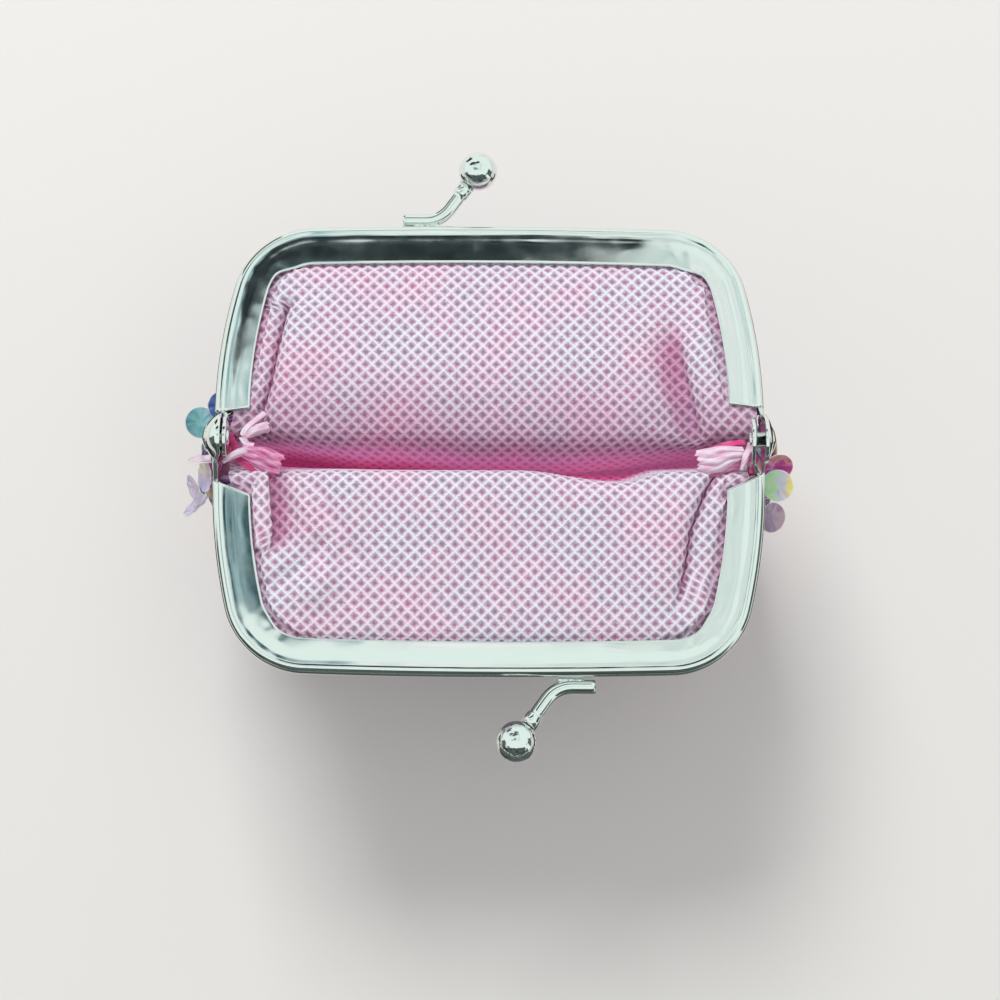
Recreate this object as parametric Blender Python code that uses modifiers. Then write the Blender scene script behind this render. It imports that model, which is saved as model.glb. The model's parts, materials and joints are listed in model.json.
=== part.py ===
"""Coin purse with a ball clasp frame, standing on its pouch with the mouth held wide open.

The hinge axis runs along X. The back half of the frame is on the +Y side and the front half
on the -Y side. Both are one stamping, turned half a turn about Z. Each half is modelled as it
stands when the purse is shut, with the hinge axis at its origin, and hangs under an empty on
the hinge axis that swings it open.
"""
import math

import bmesh
import bpy
from mathutils import Vector

MM = 0.001

# Frame halves, folded from steel sheet
FRAME_HALF_WIDTH = 42.7 * MM
FRAME_HEIGHT = 36.6 * MM
LEG_WIDEST_AT = 6.1 * MM
LEG_RADIUS = 88 * MM
CORNER_RADIUS = 13 * MM
BAR_RADIUS = 950 * MM
CHANNEL_DEPTH = 6.0 * MM
CHANNEL_THICKNESS = 3.8 * MM
FRAME_SHEET = 0.5 * MM
LEG_START = 4.4 * MM
LEG_SLANT = 1.6 * MM
CLOSING_GAP = 0.3 * MM
OPEN_ANGLE = math.radians(95)
HINGE_HEIGHT = 58 * MM

# Hinges: on each half one dished lug, outside, and one flat lug, inside
LUG_SHEET = 0.6 * MM
DISHED_LUG_RADIUS = 3.7 * MM
DISHED_LUG_DEPTH = 1.1 * MM
FLAT_LUG_RADIUS = 3.5 * MM
LUG_SPACING = 0.6 * MM
LUG_ARM_WIDTH = 2.3 * MM
LUG_ARM_GRIP = 3.2 * MM
LUG_ARM_LAP = 1.05 * MM
LUG_ARM_SET_IN = 0.05 * MM
LUG_JOGGLE_SLOPE = 2.0
RIVET_RADIUS = 1.3 * MM
RIVET_HEAD_RADIUS = 2.2 * MM
RIVET_HEAD_HEIGHT = 0.6 * MM
RIVET_CLEARANCE = 0.25 * MM

# Ball clasp: a bent wire foot on the back of each bar, with a ball on its end
BALL_RADIUS = 3.0 * MM
BALL_RISE = 9.3 * MM
BACK_BALL_X = -2.0 * MM
FRONT_BALL_X = 4.4 * MM
WIRE_RADIUS = 1.0 * MM
SLEEVE_RADIUS = 1.15 * MM
FOOT_OUTER_REACH = 12.0 * MM
FOOT_INNER_REACH = 6.0 * MM
WIRE_BEND = 2.2 * MM
SLEEVE_LENGTH = 2.0 * MM
SLEEVE_SHOULDER = 0.1

# Paper cord and cloth that the channel grips
CORD_RADIUS = 1.1 * MM
CLOTH_GRIP = 2.7 * MM
LINING_THICKNESS = 0.3 * MM
SHELL_THICKNESS = 0.7 * MM
CLOTH_CLEARANCE = 0.2 * MM
MOUTH_LINING_START = 3.2 * MM
MOUTH_SHELL_START = 6.0 * MM

# Folds of the mouth lining, which is wider than the frame, so it gathers beside each leg. Each
# fold gives how far its valley lies in from the frame's half width, at the lining's start and at
# the fold's top, left fold first. The lining dips in the valleys and where it starts, and between
# the flanges it stands higher than under them. Rows are shares of the way from start to bar.
BACK_FOLDS = ((7.1 * MM, 10.9 * MM), (10.1 * MM, 13.6 * MM))
FRONT_FOLDS = ((7.9 * MM, 13.6 * MM), (8.2 * MM, 9.4 * MM))
FOLD_TOP = 0.67
FOLD_HALF_WIDTH = 3.0 * MM
VALLEY_DIP = 0.95 * MM
START_DIP = 0.7 * MM
START_DIP_END = 0.19
FIELD_RISE = 0.5 * MM
FIELD_END = 0.85
FIELD_REACH = 0.33
LINING_ROWS = (0, 0.08, 0.19, 0.36, 0.52, 0.67, 0.8, 0.9, 1)

# Pouch: half depth along Y at each level, outside, and how far its half width along X passes
# the frame's. A low squareness makes a level boxy, and 1 makes it an ellipse. The ends of the
# throat drop and those of the sole lift, from the given share of the half width outward.
THROAT_DROP = 2.0 * MM
THROAT_HALF_DEPTH = 4.6 * MM
THROAT_PAST_FRAME = -2.2 * MM
THROAT_END_DROP = 3.2 * MM
THROAT_SQUARENESS = 0.5
SHOULDER_DROP = 12 * MM
SHOULDER_HALF_DEPTH = 7.0 * MM
SHOULDER_PAST_FRAME = 3.3 * MM
SHOULDER_SQUARENESS = 0.35
BELLY_HEIGHT = 22 * MM
BELLY_HALF_DEPTH = 18 * MM
BELLY_PAST_FRAME = 3.6 * MM
BELLY_SQUARENESS = 0.8
HEEL_HEIGHT = 4 * MM
HEEL_HALF_DEPTH = 15.5 * MM
HEEL_PAST_FRAME = -1.7 * MM
SOLE_HALF_DEPTH = 10 * MM
SOLE_PAST_FRAME = -8.7 * MM
SOLE_END_LIFT = 7 * MM
SOLE_SQUARENESS = 1.0
END_SHIFT_FROM = 0.6
SEAM_GAP = 0.3 * MM
POUCH_SHELL_THICKNESS = 1.0 * MM
POUCH_LINING_THICKNESS = 0.4 * MM
LAYER_CLEARANCE = 0.3 * MM

# Ends of the side seams, which stand up in the mouth beside each hinge
SEAM_END_INSET = 4.1 * MM
SEAM_END_LENGTH = 5.6 * MM
SEAM_END_THICKNESS = 1.4 * MM
SEAM_END_RISE = 0.8 * MM
SEAM_END_FALL = 6.5 * MM

# Loose sequins at the hinge ends: distance of the middle past the frame's half width, its y and
# its drop below the hinge axis, in mm, then the lean about X and about Y, in degrees
SEQUIN_RADIUS = 2.5 * MM
SEQUIN_THICKNESS = 0.25 * MM
SEQUIN_HOLE_RADIUS = 0.5 * MM
LEFT_SEQUINS = [
    (2.7, 4.4, 7.3, 14, 8),
    (-1.1, 6.8, 5.9, 25, 10),
    (3.2, -0.1, 5.5, 20, -55),
    (2.1, -4.8, 8.4, 40, -20),
    (3.5, -4.8, 12.6, 40, -50),
    (3.3, -6.3, 17.9, 20, -70),
]
RIGHT_SEQUINS = [
    (1.9, -2.2, 6.4, 45, 25),
    (2.9, -5.6, 9.3, 14, -4),
    (3.5, -8.3, 22.0, 20, 34),
]

# Fineness of the faceted shapes
LEG_STEPS = 4
CORNER_STEPS = 5
BAR_STEPS = 4
BACK_STEPS = 6
TURNED_STEPS = 20
DISH_STEPS = 3
SEQUIN_STEPS = 14
BALL_STEPS = 16
BALL_RINGS = 10
WIRE_BEND_STEPS = 6
POUCH_COLUMNS = 16
POUCH_STEPS_PER_LEVEL = 3

# Touching pieces keep this gap, and points closer than the weld distance become one
TOUCH_GAP = 0.3 * MM
WELD_DISTANCE = 0.01 * MM

# Places that follow from the sizes above
INNER_FACE = CLOSING_GAP / 2
CHANNEL_MIDDLE = INNER_FACE + CHANNEL_THICKNESS / 2
BACK_RADIUS = CHANNEL_THICKNESS / 2
CORD_INSET = BACK_RADIUS
CLOTH_EDGE_INSET = CHANNEL_DEPTH - CLOTH_GRIP
DISH_RIM_X = FRAME_HALF_WIDTH
DISH_TOP_X = DISH_RIM_X + DISHED_LUG_DEPTH
FLAT_LUG_OUTER_X = DISH_RIM_X - LUG_SHEET - LUG_SPACING
FLAT_LUG_INNER_X = FLAT_LUG_OUTER_X - LUG_SHEET
LUG_HOLE_RADIUS = RIVET_RADIUS + RIVET_CLEARANCE


def new_collection(name):
    collection = bpy.data.collections.new(name)
    bpy.context.scene.collection.children.link(collection)
    return collection


def new_material(name, colour, roughness, metallic=0.0):
    material = bpy.data.materials.new(name)
    material.use_nodes = True
    shader = material.node_tree.nodes["Principled BSDF"]
    shader.inputs["Base Color"].default_value = (*colour, 1.0)
    shader.inputs["Roughness"].default_value = roughness
    shader.inputs["Metallic"].default_value = metallic
    return material


def add_object(name, data, collection, material=None, parent=None):
    piece = bpy.data.objects.new(name, data)
    collection.objects.link(piece)
    piece.parent = parent
    if material:
        data.materials.append(material)
    return piece


def mesh_from(bm, name):
    mesh = bpy.data.meshes.new(name)
    bm.to_mesh(mesh)
    bm.free()
    mesh.shade_smooth()
    mesh.set_sharp_from_angle(angle=math.radians(40))
    return mesh


def grid_sheet(columns, rows, place):
    """An open sheet of columns by rows faces, each corner put at place(column, row)."""
    bm = bmesh.new()
    bmesh.ops.create_grid(bm, x_segments=columns, y_segments=rows, size=0.5)
    for vert in bm.verts:
        column = round((vert.co.x + 0.5) * columns)
        row = round((vert.co.y + 0.5) * rows)
        vert.co = place(column, row)
    return bm


def thicken(piece, thickness):
    """Give an open sheet a wall of the given thickness on the inner side."""
    wall = piece.modifiers.new("wall", "SOLIDIFY")
    wall.thickness = thickness
    wall.offset = -1
    wall.use_even_offset = False


def to_plain_mesh(piece):
    """Swap an object for a copy whose curve and modifiers are worked into one welded mesh."""
    evaluated = piece.evaluated_get(bpy.context.evaluated_depsgraph_get())
    mesh = bpy.data.meshes.new_from_object(evaluated)
    bm = bmesh.new()
    bm.from_mesh(mesh)
    bmesh.ops.remove_doubles(bm, verts=bm.verts, dist=WELD_DISTANCE)
    bm.to_mesh(mesh)
    bm.free()
    plain = bpy.data.objects.new(piece.name + "_mesh", mesh)
    piece.users_collection[0].objects.link(plain)
    plain.matrix_world = piece.matrix_world
    bpy.data.objects.remove(piece)
    return plain


def join_by_boolean(piece, other):
    """Fuse another solid into this one and keep it as a hidden guide."""
    other.hide_render = True
    other.display_type = "WIRE"
    join = piece.modifiers.new("join " + other.name, "BOOLEAN")
    join.operation = "UNION"
    join.solver = "EXACT"
    join.object = other


def smooth_rows(rows, steps):
    """Catmull-Rom curve through rows of numbers, with the given steps from row to row."""
    first = [2 * a - b for a, b in zip(rows[0], rows[1])]
    last = [2 * a - b for a, b in zip(rows[-1], rows[-2])]
    padded = [first, *rows, last]
    points = []
    for index in range(1, len(padded) - 2):
        for step in range(steps):
            t = step / steps
            points.append([catmull_rom(*values, t) for values in zip(*padded[index - 1:index + 3])])
    points.append(list(rows[-1]))
    return points


def catmull_rom(before, start, end, after, t):
    slope_in = (end - before) / 2
    slope_out = (after - start) / 2
    return (
        start * (2 * t ** 3 - 3 * t ** 2 + 1)
        + slope_in * (t ** 3 - 2 * t ** 2 + t)
        + end * (3 * t ** 2 - 2 * t ** 3)
        + slope_out * (t ** 3 - t ** 2)
    )


def corner_centre():
    """Centre of the corner arc that touches both the leg arc and the bar arc."""
    leg_centre = Vector((FRAME_HALF_WIDTH - LEG_RADIUS, LEG_WIDEST_AT))
    bar_centre = Vector((0, FRAME_HEIGHT - BAR_RADIUS))
    to_leg = LEG_RADIUS - CORNER_RADIUS
    to_bar = BAR_RADIUS - CORNER_RADIUS
    across = bar_centre - leg_centre
    along = (to_leg ** 2 - to_bar ** 2 + across.length_squared) / (2 * across.length)
    aside = math.sqrt(to_leg ** 2 - along ** 2)
    direction = across.normalized()
    return leg_centre + direction * along + Vector((-direction.y, direction.x)) * aside


def frame_outline(inset, leg_end):
    """The U of a frame half, inset from its back, from the right leg's end to the left one's."""
    leg_centre = Vector((FRAME_HALF_WIDTH - LEG_RADIUS, LEG_WIDEST_AT))
    bar_centre = Vector((0, FRAME_HEIGHT - BAR_RADIUS))
    corner = corner_centre()
    leg_to_corner = corner - leg_centre
    bar_to_corner = corner - bar_centre
    leg_turn = math.atan2(leg_to_corner.y, leg_to_corner.x)
    bar_turn = math.atan2(bar_to_corner.y, bar_to_corner.x)
    start_turn = math.asin((leg_end - LEG_WIDEST_AT) / (LEG_RADIUS - inset))
    arcs = [
        (leg_centre, LEG_RADIUS - inset, start_turn, leg_turn, LEG_STEPS),
        (corner, CORNER_RADIUS - inset, leg_turn, bar_turn, CORNER_STEPS),
        (bar_centre, BAR_RADIUS - inset, bar_turn, math.pi / 2, BAR_STEPS),
    ]
    right = []
    for centre, radius, start, end, steps in arcs:
        for step in range(steps):
            turn = start + (end - start) * step / steps
            right.append(centre + radius * Vector((math.cos(turn), math.sin(turn))))
    middle = Vector((0, FRAME_HEIGHT - inset))
    left = [Vector((-point.x, point.y)) for point in reversed(right)]
    return right + [middle] + left


def channel_profile():
    """Depth from the back and height off the hinge plane, round the outside of the channel."""
    outer_face = INNER_FACE + CHANNEL_THICKNESS
    profile = [(CHANNEL_DEPTH, outer_face)]
    for step in range(BACK_STEPS + 1):
        turn = math.pi * step / BACK_STEPS
        depth = BACK_RADIUS - BACK_RADIUS * math.sin(turn)
        profile.append((depth, CHANNEL_MIDDLE + BACK_RADIUS * math.cos(turn)))
    profile.append((CHANNEL_DEPTH, INNER_FACE))
    return profile


def make_channel(name, material, pivot, collection):
    """The folded channel of one frame half."""
    profile = channel_profile()
    strips = []
    for depth, level in profile:
        leg_end = LEG_START + LEG_SLANT * depth / CHANNEL_DEPTH
        strips.append([Vector((p.x, level, p.y)) for p in frame_outline(depth, leg_end)])
    columns = len(strips[0]) - 1
    rows = len(strips) - 1
    bm = grid_sheet(columns, rows, lambda column, row: strips[row][column])
    channel = add_object(name, mesh_from(bm, name), collection, material, pivot)
    thicken(channel, FRAME_SHEET)
    return channel


def turned_object(name, profile, closed, collection, material=None, steps=TURNED_STEPS):
    """A profile of (radius, height) pairs, listed down its outer side, turned about Z."""
    bm = bmesh.new()
    verts = [bm.verts.new((radius, 0, height)) for radius, height in profile]
    for pair in zip(verts, verts[1:]):
        bm.edges.new(pair)
    if closed:
        bm.edges.new((verts[-1], verts[0]))
    turned = add_object(name, mesh_from(bm, name), collection, material)
    screw = turned.modifiers.new("turn", "SCREW")
    screw.steps = steps
    screw.render_steps = steps
    screw.use_merge_vertices = True
    screw.merge_threshold = WELD_DISTANCE
    return turned


def dish_sag(radius):
    ball = (DISHED_LUG_RADIUS ** 2 + DISHED_LUG_DEPTH ** 2) / (2 * DISHED_LUG_DEPTH)
    return ball - math.sqrt(ball ** 2 - radius ** 2)


def make_dished_lug(name, side, collection):
    """Round cupped lug with the rivet hole, on the hinge axis, bulging outward."""
    step = (DISHED_LUG_RADIUS - LUG_HOLE_RADIUS) / DISH_STEPS
    radii = [LUG_HOLE_RADIUS + step * k for k in range(DISH_STEPS + 1)]
    outer = [(radius, DISH_TOP_X - dish_sag(radius)) for radius in radii]
    inner = [(radius, height - LUG_SHEET) for radius, height in reversed(outer)]
    lug = turned_object(name, outer + inner, True, collection)
    lug.rotation_euler.y = side * math.pi / 2
    return lug


def make_flat_lug(name, side, collection):
    """Round flat lug with the rivet hole, on the hinge axis."""
    profile = [
        (LUG_HOLE_RADIUS, FLAT_LUG_OUTER_X),
        (FLAT_LUG_RADIUS, FLAT_LUG_OUTER_X),
        (FLAT_LUG_RADIUS, FLAT_LUG_INNER_X),
        (LUG_HOLE_RADIUS, FLAT_LUG_INNER_X),
    ]
    lug = turned_object(name, profile, True, collection)
    lug.rotation_euler.y = side * math.pi / 2
    return lug


def make_lug_arm(name, side, route, collection):
    """Strip of lug sheet that follows (x, height) pairs from a lug to the back of its leg."""
    half = LUG_SHEET / 2
    near = [(x - half, height) for x, height in route]
    far = [(x + half, height) for x, height in reversed(route)]
    curve = bpy.data.curves.new(name, "CURVE")
    curve.dimensions = "2D"
    curve.fill_mode = "BOTH"
    curve.extrude = LUG_ARM_WIDTH / 2
    spline = curve.splines.new("POLY")
    spline.points.add(len(near + far) - 1)
    for point, (x, height) in zip(spline.points, near + far):
        point.co = (side * x, height, 0, 1)
    spline.use_cyclic_u = True
    arm = add_object(name, curve, collection)
    arm.rotation_euler.x = math.pi / 2
    arm.location.y = CHANNEL_MIDDLE
    bpy.context.view_layer.update()
    return to_plain_mesh(arm)


def make_frame_half(name, material, pivot, parts, cutters):
    """One stamping: its dished lug is on its right and its flat lug on its left."""
    half = make_channel(name, material, pivot, parts)
    back_x = FRAME_HALF_WIDTH - LUG_SHEET / 2 - LUG_ARM_SET_IN
    flat_x = (FLAT_LUG_INNER_X + FLAT_LUG_OUTER_X) / 2
    straight_end = DISHED_LUG_RADIUS + TOUCH_GAP
    joggle_end = straight_end + LUG_JOGGLE_SLOPE * (back_x - flat_x)
    dished_route = [
        (back_x, DISHED_LUG_RADIUS - LUG_ARM_LAP),
        (back_x, LEG_START + LUG_ARM_GRIP),
    ]
    flat_route = [
        (flat_x, FLAT_LUG_RADIUS - LUG_ARM_LAP),
        (flat_x, straight_end),
        (back_x, joggle_end),
        (back_x, LEG_START + LUG_ARM_GRIP),
    ]
    pieces = [
        make_dished_lug(name + "_dished_lug", 1, cutters),
        make_lug_arm(name + "_dished_arm", 1, dished_route, cutters),
        make_flat_lug(name + "_flat_lug", -1, cutters),
        make_lug_arm(name + "_flat_arm", -1, flat_route, cutters),
    ]
    for piece in pieces:
        piece.parent = pivot
        join_by_boolean(half, piece)
    return half


def curve_tube(name, points, radius, collection, material, pivot, radii=None):
    curve = bpy.data.curves.new(name, "CURVE")
    curve.dimensions = "3D"
    curve.bevel_depth = radius
    curve.bevel_resolution = 2
    curve.use_fill_caps = True
    spline = curve.splines.new("POLY")
    spline.points.add(len(points) - 1)
    for index, (point, place) in enumerate(zip(spline.points, points)):
        point.co = (*place, 1)
        point.radius = radii[index] if radii else 1.0
    return add_object(name, curve, collection, material, pivot)


def make_paper_cord(name, material, pivot, collection):
    """Twisted paper cord pressed into the round back of the channel."""
    cord_start = LEG_START + LUG_ARM_GRIP + 2 * TOUCH_GAP
    outline = frame_outline(CORD_INSET, cord_start)
    points = [(p.x, CHANNEL_MIDDLE, p.y) for p in outline]
    return curve_tube(name, points, CORD_RADIUS, collection, material, pivot)


def half_width_at(height, inset):
    """Half width of the frame at a height above the hinge line, inset from its back."""
    corner = corner_centre()
    if height > corner.y:
        reach = CORNER_RADIUS - inset
        rise = min((height - corner.y) / reach, 1)
        return corner.x + reach * math.sqrt(1 - rise ** 2)
    reach = LEG_RADIUS - inset
    rise = height - LEG_WIDEST_AT
    return FRAME_HALF_WIDTH - LEG_RADIUS + math.sqrt(reach ** 2 - rise ** 2)


def bar_sag(x):
    """How far the bar lies below its middle at a distance across."""
    reach = BAR_RADIUS - CLOTH_EDGE_INSET
    return reach - math.sqrt(reach ** 2 - x ** 2)


def half_of_lining_row(share, half_width, start_inset, top_inset):
    """x and dip of one row of the mouth lining, from its edge under a leg to near the middle."""
    inset = start_inset + (top_inset - start_inset) * min(share / FOLD_TOP, 1)
    valley = min(FRAME_HALF_WIDTH - inset, half_width - FOLD_HALF_WIDTH)
    fade = 1 - max(share - FOLD_TOP, 0) / (1 - FOLD_TOP)
    near_start = max(1 - share / START_DIP_END, 0)
    field = START_DIP * near_start ** 2
    if share < FIELD_END:
        field -= FIELD_RISE
    return [
        (half_width, 0),
        ((half_width + valley) / 2, 0),
        (valley, VALLEY_DIP * fade),
        (valley - FOLD_HALF_WIDTH, field),
        (half_width * FIELD_REACH, field),
    ]


def make_mouth_lining(name, level, folds, material, pivot, collection):
    """The lining inside the U, with a fold beside each leg and a turned-down start."""
    top = FRAME_HEIGHT - CLOTH_EDGE_INSET
    rows = []
    for share in LINING_ROWS:
        height = MOUTH_LINING_START + (top - MOUTH_LINING_START) * share
        half_width = half_width_at(height - share * bar_sag(corner_centre().x), CLOTH_EDGE_INSET)
        left, right = [half_of_lining_row(share, half_width, *fold) for fold in folds]
        across = [(-x, dip) for x, dip in left] + list(reversed(right))
        rows.append([Vector((x, level + dip, height - share * bar_sag(x))) for x, dip in across])
    bm = grid_sheet(len(rows[0]) - 1, len(rows) - 1, lambda column, row: rows[row][column])
    lining = add_object(name, mesh_from(bm, name), collection, material, pivot)
    thicken(lining, LINING_THICKNESS)
    return lining


def make_mouth_shell(name, level, material, pivot, collection):
    """The outer cloth inside the U, from the channel to beside the hinge line."""
    outline = frame_outline(CLOTH_EDGE_INSET, MOUTH_SHELL_START)
    curve = bpy.data.curves.new(name, "CURVE")
    curve.dimensions = "2D"
    curve.fill_mode = "BOTH"
    curve.extrude = SHELL_THICKNESS / 2
    spline = curve.splines.new("POLY")
    spline.points.add(len(outline) - 1)
    for point, place in zip(spline.points, outline):
        point.co = (place.x, place.y, 0, 1)
    spline.use_cyclic_u = True
    shell = add_object(name, curve, collection, material, pivot)
    shell.rotation_euler.x = math.pi / 2
    shell.location.y = level + SHELL_THICKNESS / 2
    return shell


def clasp_route(ball_x):
    """Centre line of the clasp wire: along the back of the bar, then up and over to the ball."""
    side = -1 if ball_x < 0 else 1
    level = FRAME_HEIGHT + TOUCH_GAP + WIRE_RADIUS
    ball = Vector((ball_x, 0, FRAME_HEIGHT + BALL_RISE))
    heel = Vector((ball_x + side * FOOT_INNER_REACH, CHANNEL_MIDDLE, level))
    toe = Vector((ball_x + side * FOOT_OUTER_REACH, CHANNEL_MIDDLE, level))
    rise = (ball - heel).normalized()
    tip = ball - rise * (BALL_RADIUS + TOUCH_GAP / 2)
    bend_start = heel + (toe - heel).normalized() * WIRE_BEND
    bend_end = heel + rise * WIRE_BEND
    bend = []
    for step in range(WIRE_BEND_STEPS + 1):
        t = step / WIRE_BEND_STEPS
        bend.append(bend_start.lerp(heel, t).lerp(heel.lerp(bend_end, t), t))
    sleeve_start = tip - rise * SLEEVE_LENGTH
    return [toe, *bend, sleeve_start, sleeve_start.lerp(tip, SLEEVE_SHOULDER), tip]


def make_clasp(prefix, ball_x, material, pivot, collection):
    points = clasp_route(ball_x)
    sleeve = SLEEVE_RADIUS / WIRE_RADIUS
    radii = [1.0] * (len(points) - 2) + [sleeve, sleeve]
    curve_tube(prefix + "_clasp_stem", points, WIRE_RADIUS, collection, material, pivot, radii)
    bm = bmesh.new()
    bmesh.ops.create_uvsphere(bm, u_segments=BALL_STEPS, v_segments=BALL_RINGS, radius=BALL_RADIUS)
    name = prefix + "_clasp_ball"
    ball = add_object(name, mesh_from(bm, name), collection, material, pivot)
    ball.location = (ball_x, 0, FRAME_HEIGHT + BALL_RISE)


def make_rivet(name, side, material, collection):
    """Round rivet through both lugs, with a head at each end."""
    inner_seat = FLAT_LUG_INNER_X - TOUCH_GAP
    outer_seat = DISH_TOP_X - dish_sag(LUG_HOLE_RADIUS) + TOUCH_GAP
    edge = RIVET_HEAD_HEIGHT / 4
    crown = RIVET_HEAD_HEIGHT - edge / 2
    profile = [
        (0, outer_seat + RIVET_HEAD_HEIGHT),
        (RIVET_HEAD_RADIUS / 2, outer_seat + crown),
        (RIVET_HEAD_RADIUS, outer_seat + edge),
        (RIVET_HEAD_RADIUS, outer_seat),
        (RIVET_RADIUS, outer_seat),
        (RIVET_RADIUS, inner_seat),
        (RIVET_HEAD_RADIUS, inner_seat),
        (RIVET_HEAD_RADIUS, inner_seat - edge),
        (RIVET_HEAD_RADIUS / 2, inner_seat - crown),
        (0, inner_seat - RIVET_HEAD_HEIGHT),
    ]
    rivet = turned_object(name, profile, False, collection, material)
    rivet.rotation_euler.y = side * math.pi / 2
    rivet.location.z = HINGE_HEIGHT
    return rivet


def pouch_levels():
    """Height, half depth, half width, squareness and end shift, from the throat to the sole."""
    throat = HINGE_HEIGHT - THROAT_DROP
    shoulder = HINGE_HEIGHT - SHOULDER_DROP
    throat_width = FRAME_HALF_WIDTH + THROAT_PAST_FRAME
    shoulder_width = FRAME_HALF_WIDTH + SHOULDER_PAST_FRAME
    belly_width = FRAME_HALF_WIDTH + BELLY_PAST_FRAME
    heel_width = FRAME_HALF_WIDTH + HEEL_PAST_FRAME
    sole_width = FRAME_HALF_WIDTH + SOLE_PAST_FRAME
    seam_width = sole_width - SOLE_END_LIFT / 2
    levels = [
        (throat, THROAT_HALF_DEPTH, throat_width, THROAT_SQUARENESS, -THROAT_END_DROP),
        (shoulder, SHOULDER_HALF_DEPTH, shoulder_width, SHOULDER_SQUARENESS, 0),
        (BELLY_HEIGHT, BELLY_HALF_DEPTH, belly_width, BELLY_SQUARENESS, 0),
        (HEEL_HEIGHT, HEEL_HALF_DEPTH, heel_width, SOLE_SQUARENESS, SOLE_END_LIFT / 2),
        (0, SOLE_HALF_DEPTH, sole_width, SOLE_SQUARENESS, SOLE_END_LIFT),
        (0, 0, seam_width, SOLE_SQUARENESS, SOLE_END_LIFT),
    ]
    return smooth_rows(levels, POUCH_STEPS_PER_LEVEL)


def pouch_point(level, column):
    """Point on the outside of the back half of the pouch, at y = half the seam gap or more."""
    height, half_depth, half_width, squareness, end_shift = level
    turn = math.pi * (column / POUCH_COLUMNS - 0.5)
    across = math.sin(turn)
    bulge = max(math.cos(turn), 0) ** squareness
    end_share = max(abs(across) - END_SHIFT_FROM, 0) / (1 - END_SHIFT_FROM)
    z = height + end_shift * end_share ** 2
    y = SEAM_GAP / 2 + max(half_depth, 0) * bulge
    return Vector((half_width * across, y, max(z, 0)))


def make_pouch_layer(name, depth_inside, thickness, turn, material, collection):
    """One cloth layer of half the pouch, lying the given depth inside the outer surface."""
    levels = pouch_levels()
    rows = len(levels) - 1
    bm = grid_sheet(POUCH_COLUMNS, rows, lambda column, row: pouch_point(levels[row], column))
    bm.normal_update()
    for vert in bm.verts:
        vert.co -= vert.normal * depth_inside
    layer = add_object(name, mesh_from(bm, name), collection, material)
    thicken(layer, thickness)
    bpy.context.view_layer.update()
    evaluated = layer.evaluated_get(bpy.context.evaluated_depsgraph_get())
    mesh = bpy.data.meshes.new_from_object(evaluated)
    for vert in mesh.vertices:
        vert.co.y = max(vert.co.y, SEAM_GAP / 2)
        vert.co.z = max(vert.co.z, depth_inside)
    layer.modifiers.clear()
    layer.data = mesh
    layer.rotation_euler.z = turn
    return layer


def make_seam_end(name, side, material, collection):
    """Folded end of a side seam, a soft tongue that stands in the slit beside the hinge."""
    height = SEAM_END_RISE + SEAM_END_FALL
    bm = bmesh.new()
    bmesh.ops.create_cube(bm, size=1)
    bmesh.ops.scale(bm, vec=(SEAM_END_LENGTH, SEAM_END_THICKNESS, height), verts=bm.verts)
    bmesh.ops.bevel(
        bm, geom=bm.edges[:], offset=SEAM_END_THICKNESS / 3, segments=2, profile=0.5,
        affect="EDGES", material=-1,
    )
    tongue = add_object(name, mesh_from(bm, name), collection, material)
    tongue.location.x = side * (FRAME_HALF_WIDTH - SEAM_END_INSET - SEAM_END_LENGTH / 2)
    tongue.location.z = HINGE_HEIGHT + (SEAM_END_RISE - SEAM_END_FALL) / 2
    return tongue


def make_sequin(name, side, placing, material, collection):
    """Thin round sequin with its thread hole."""
    past_frame, y, drop, lean_x, lean_y = placing
    x = side * (FRAME_HALF_WIDTH + past_frame * MM)
    top = SEQUIN_THICKNESS / 2
    profile = [
        (SEQUIN_HOLE_RADIUS, top),
        (SEQUIN_RADIUS, top),
        (SEQUIN_RADIUS, -top),
        (SEQUIN_HOLE_RADIUS, -top),
    ]
    sequin = turned_object(name, profile, True, collection, material, SEQUIN_STEPS)
    sequin.location = (x, y * MM, HINGE_HEIGHT - drop * MM)
    sequin.rotation_euler = (math.radians(lean_x), math.radians(lean_y), 0)
    return sequin


for old in list(bpy.data.objects):
    bpy.data.objects.remove(old)

purse = new_collection("coin_purse")
guides = new_collection("guides")

polished_steel = new_material("polished_steel", (0.78, 0.80, 0.80), 0.12, 1.0)
pink_lining = new_material("pink_lining", (0.88, 0.62, 0.76), 0.75)
sequin_cloth = new_material("sequin_cloth", (0.75, 0.62, 0.80), 0.35)
paper = new_material("paper", (0.82, 0.78, 0.68), 0.9)
sequin_film = new_material("sequin_film", (0.70, 0.72, 0.86), 0.15)

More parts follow.
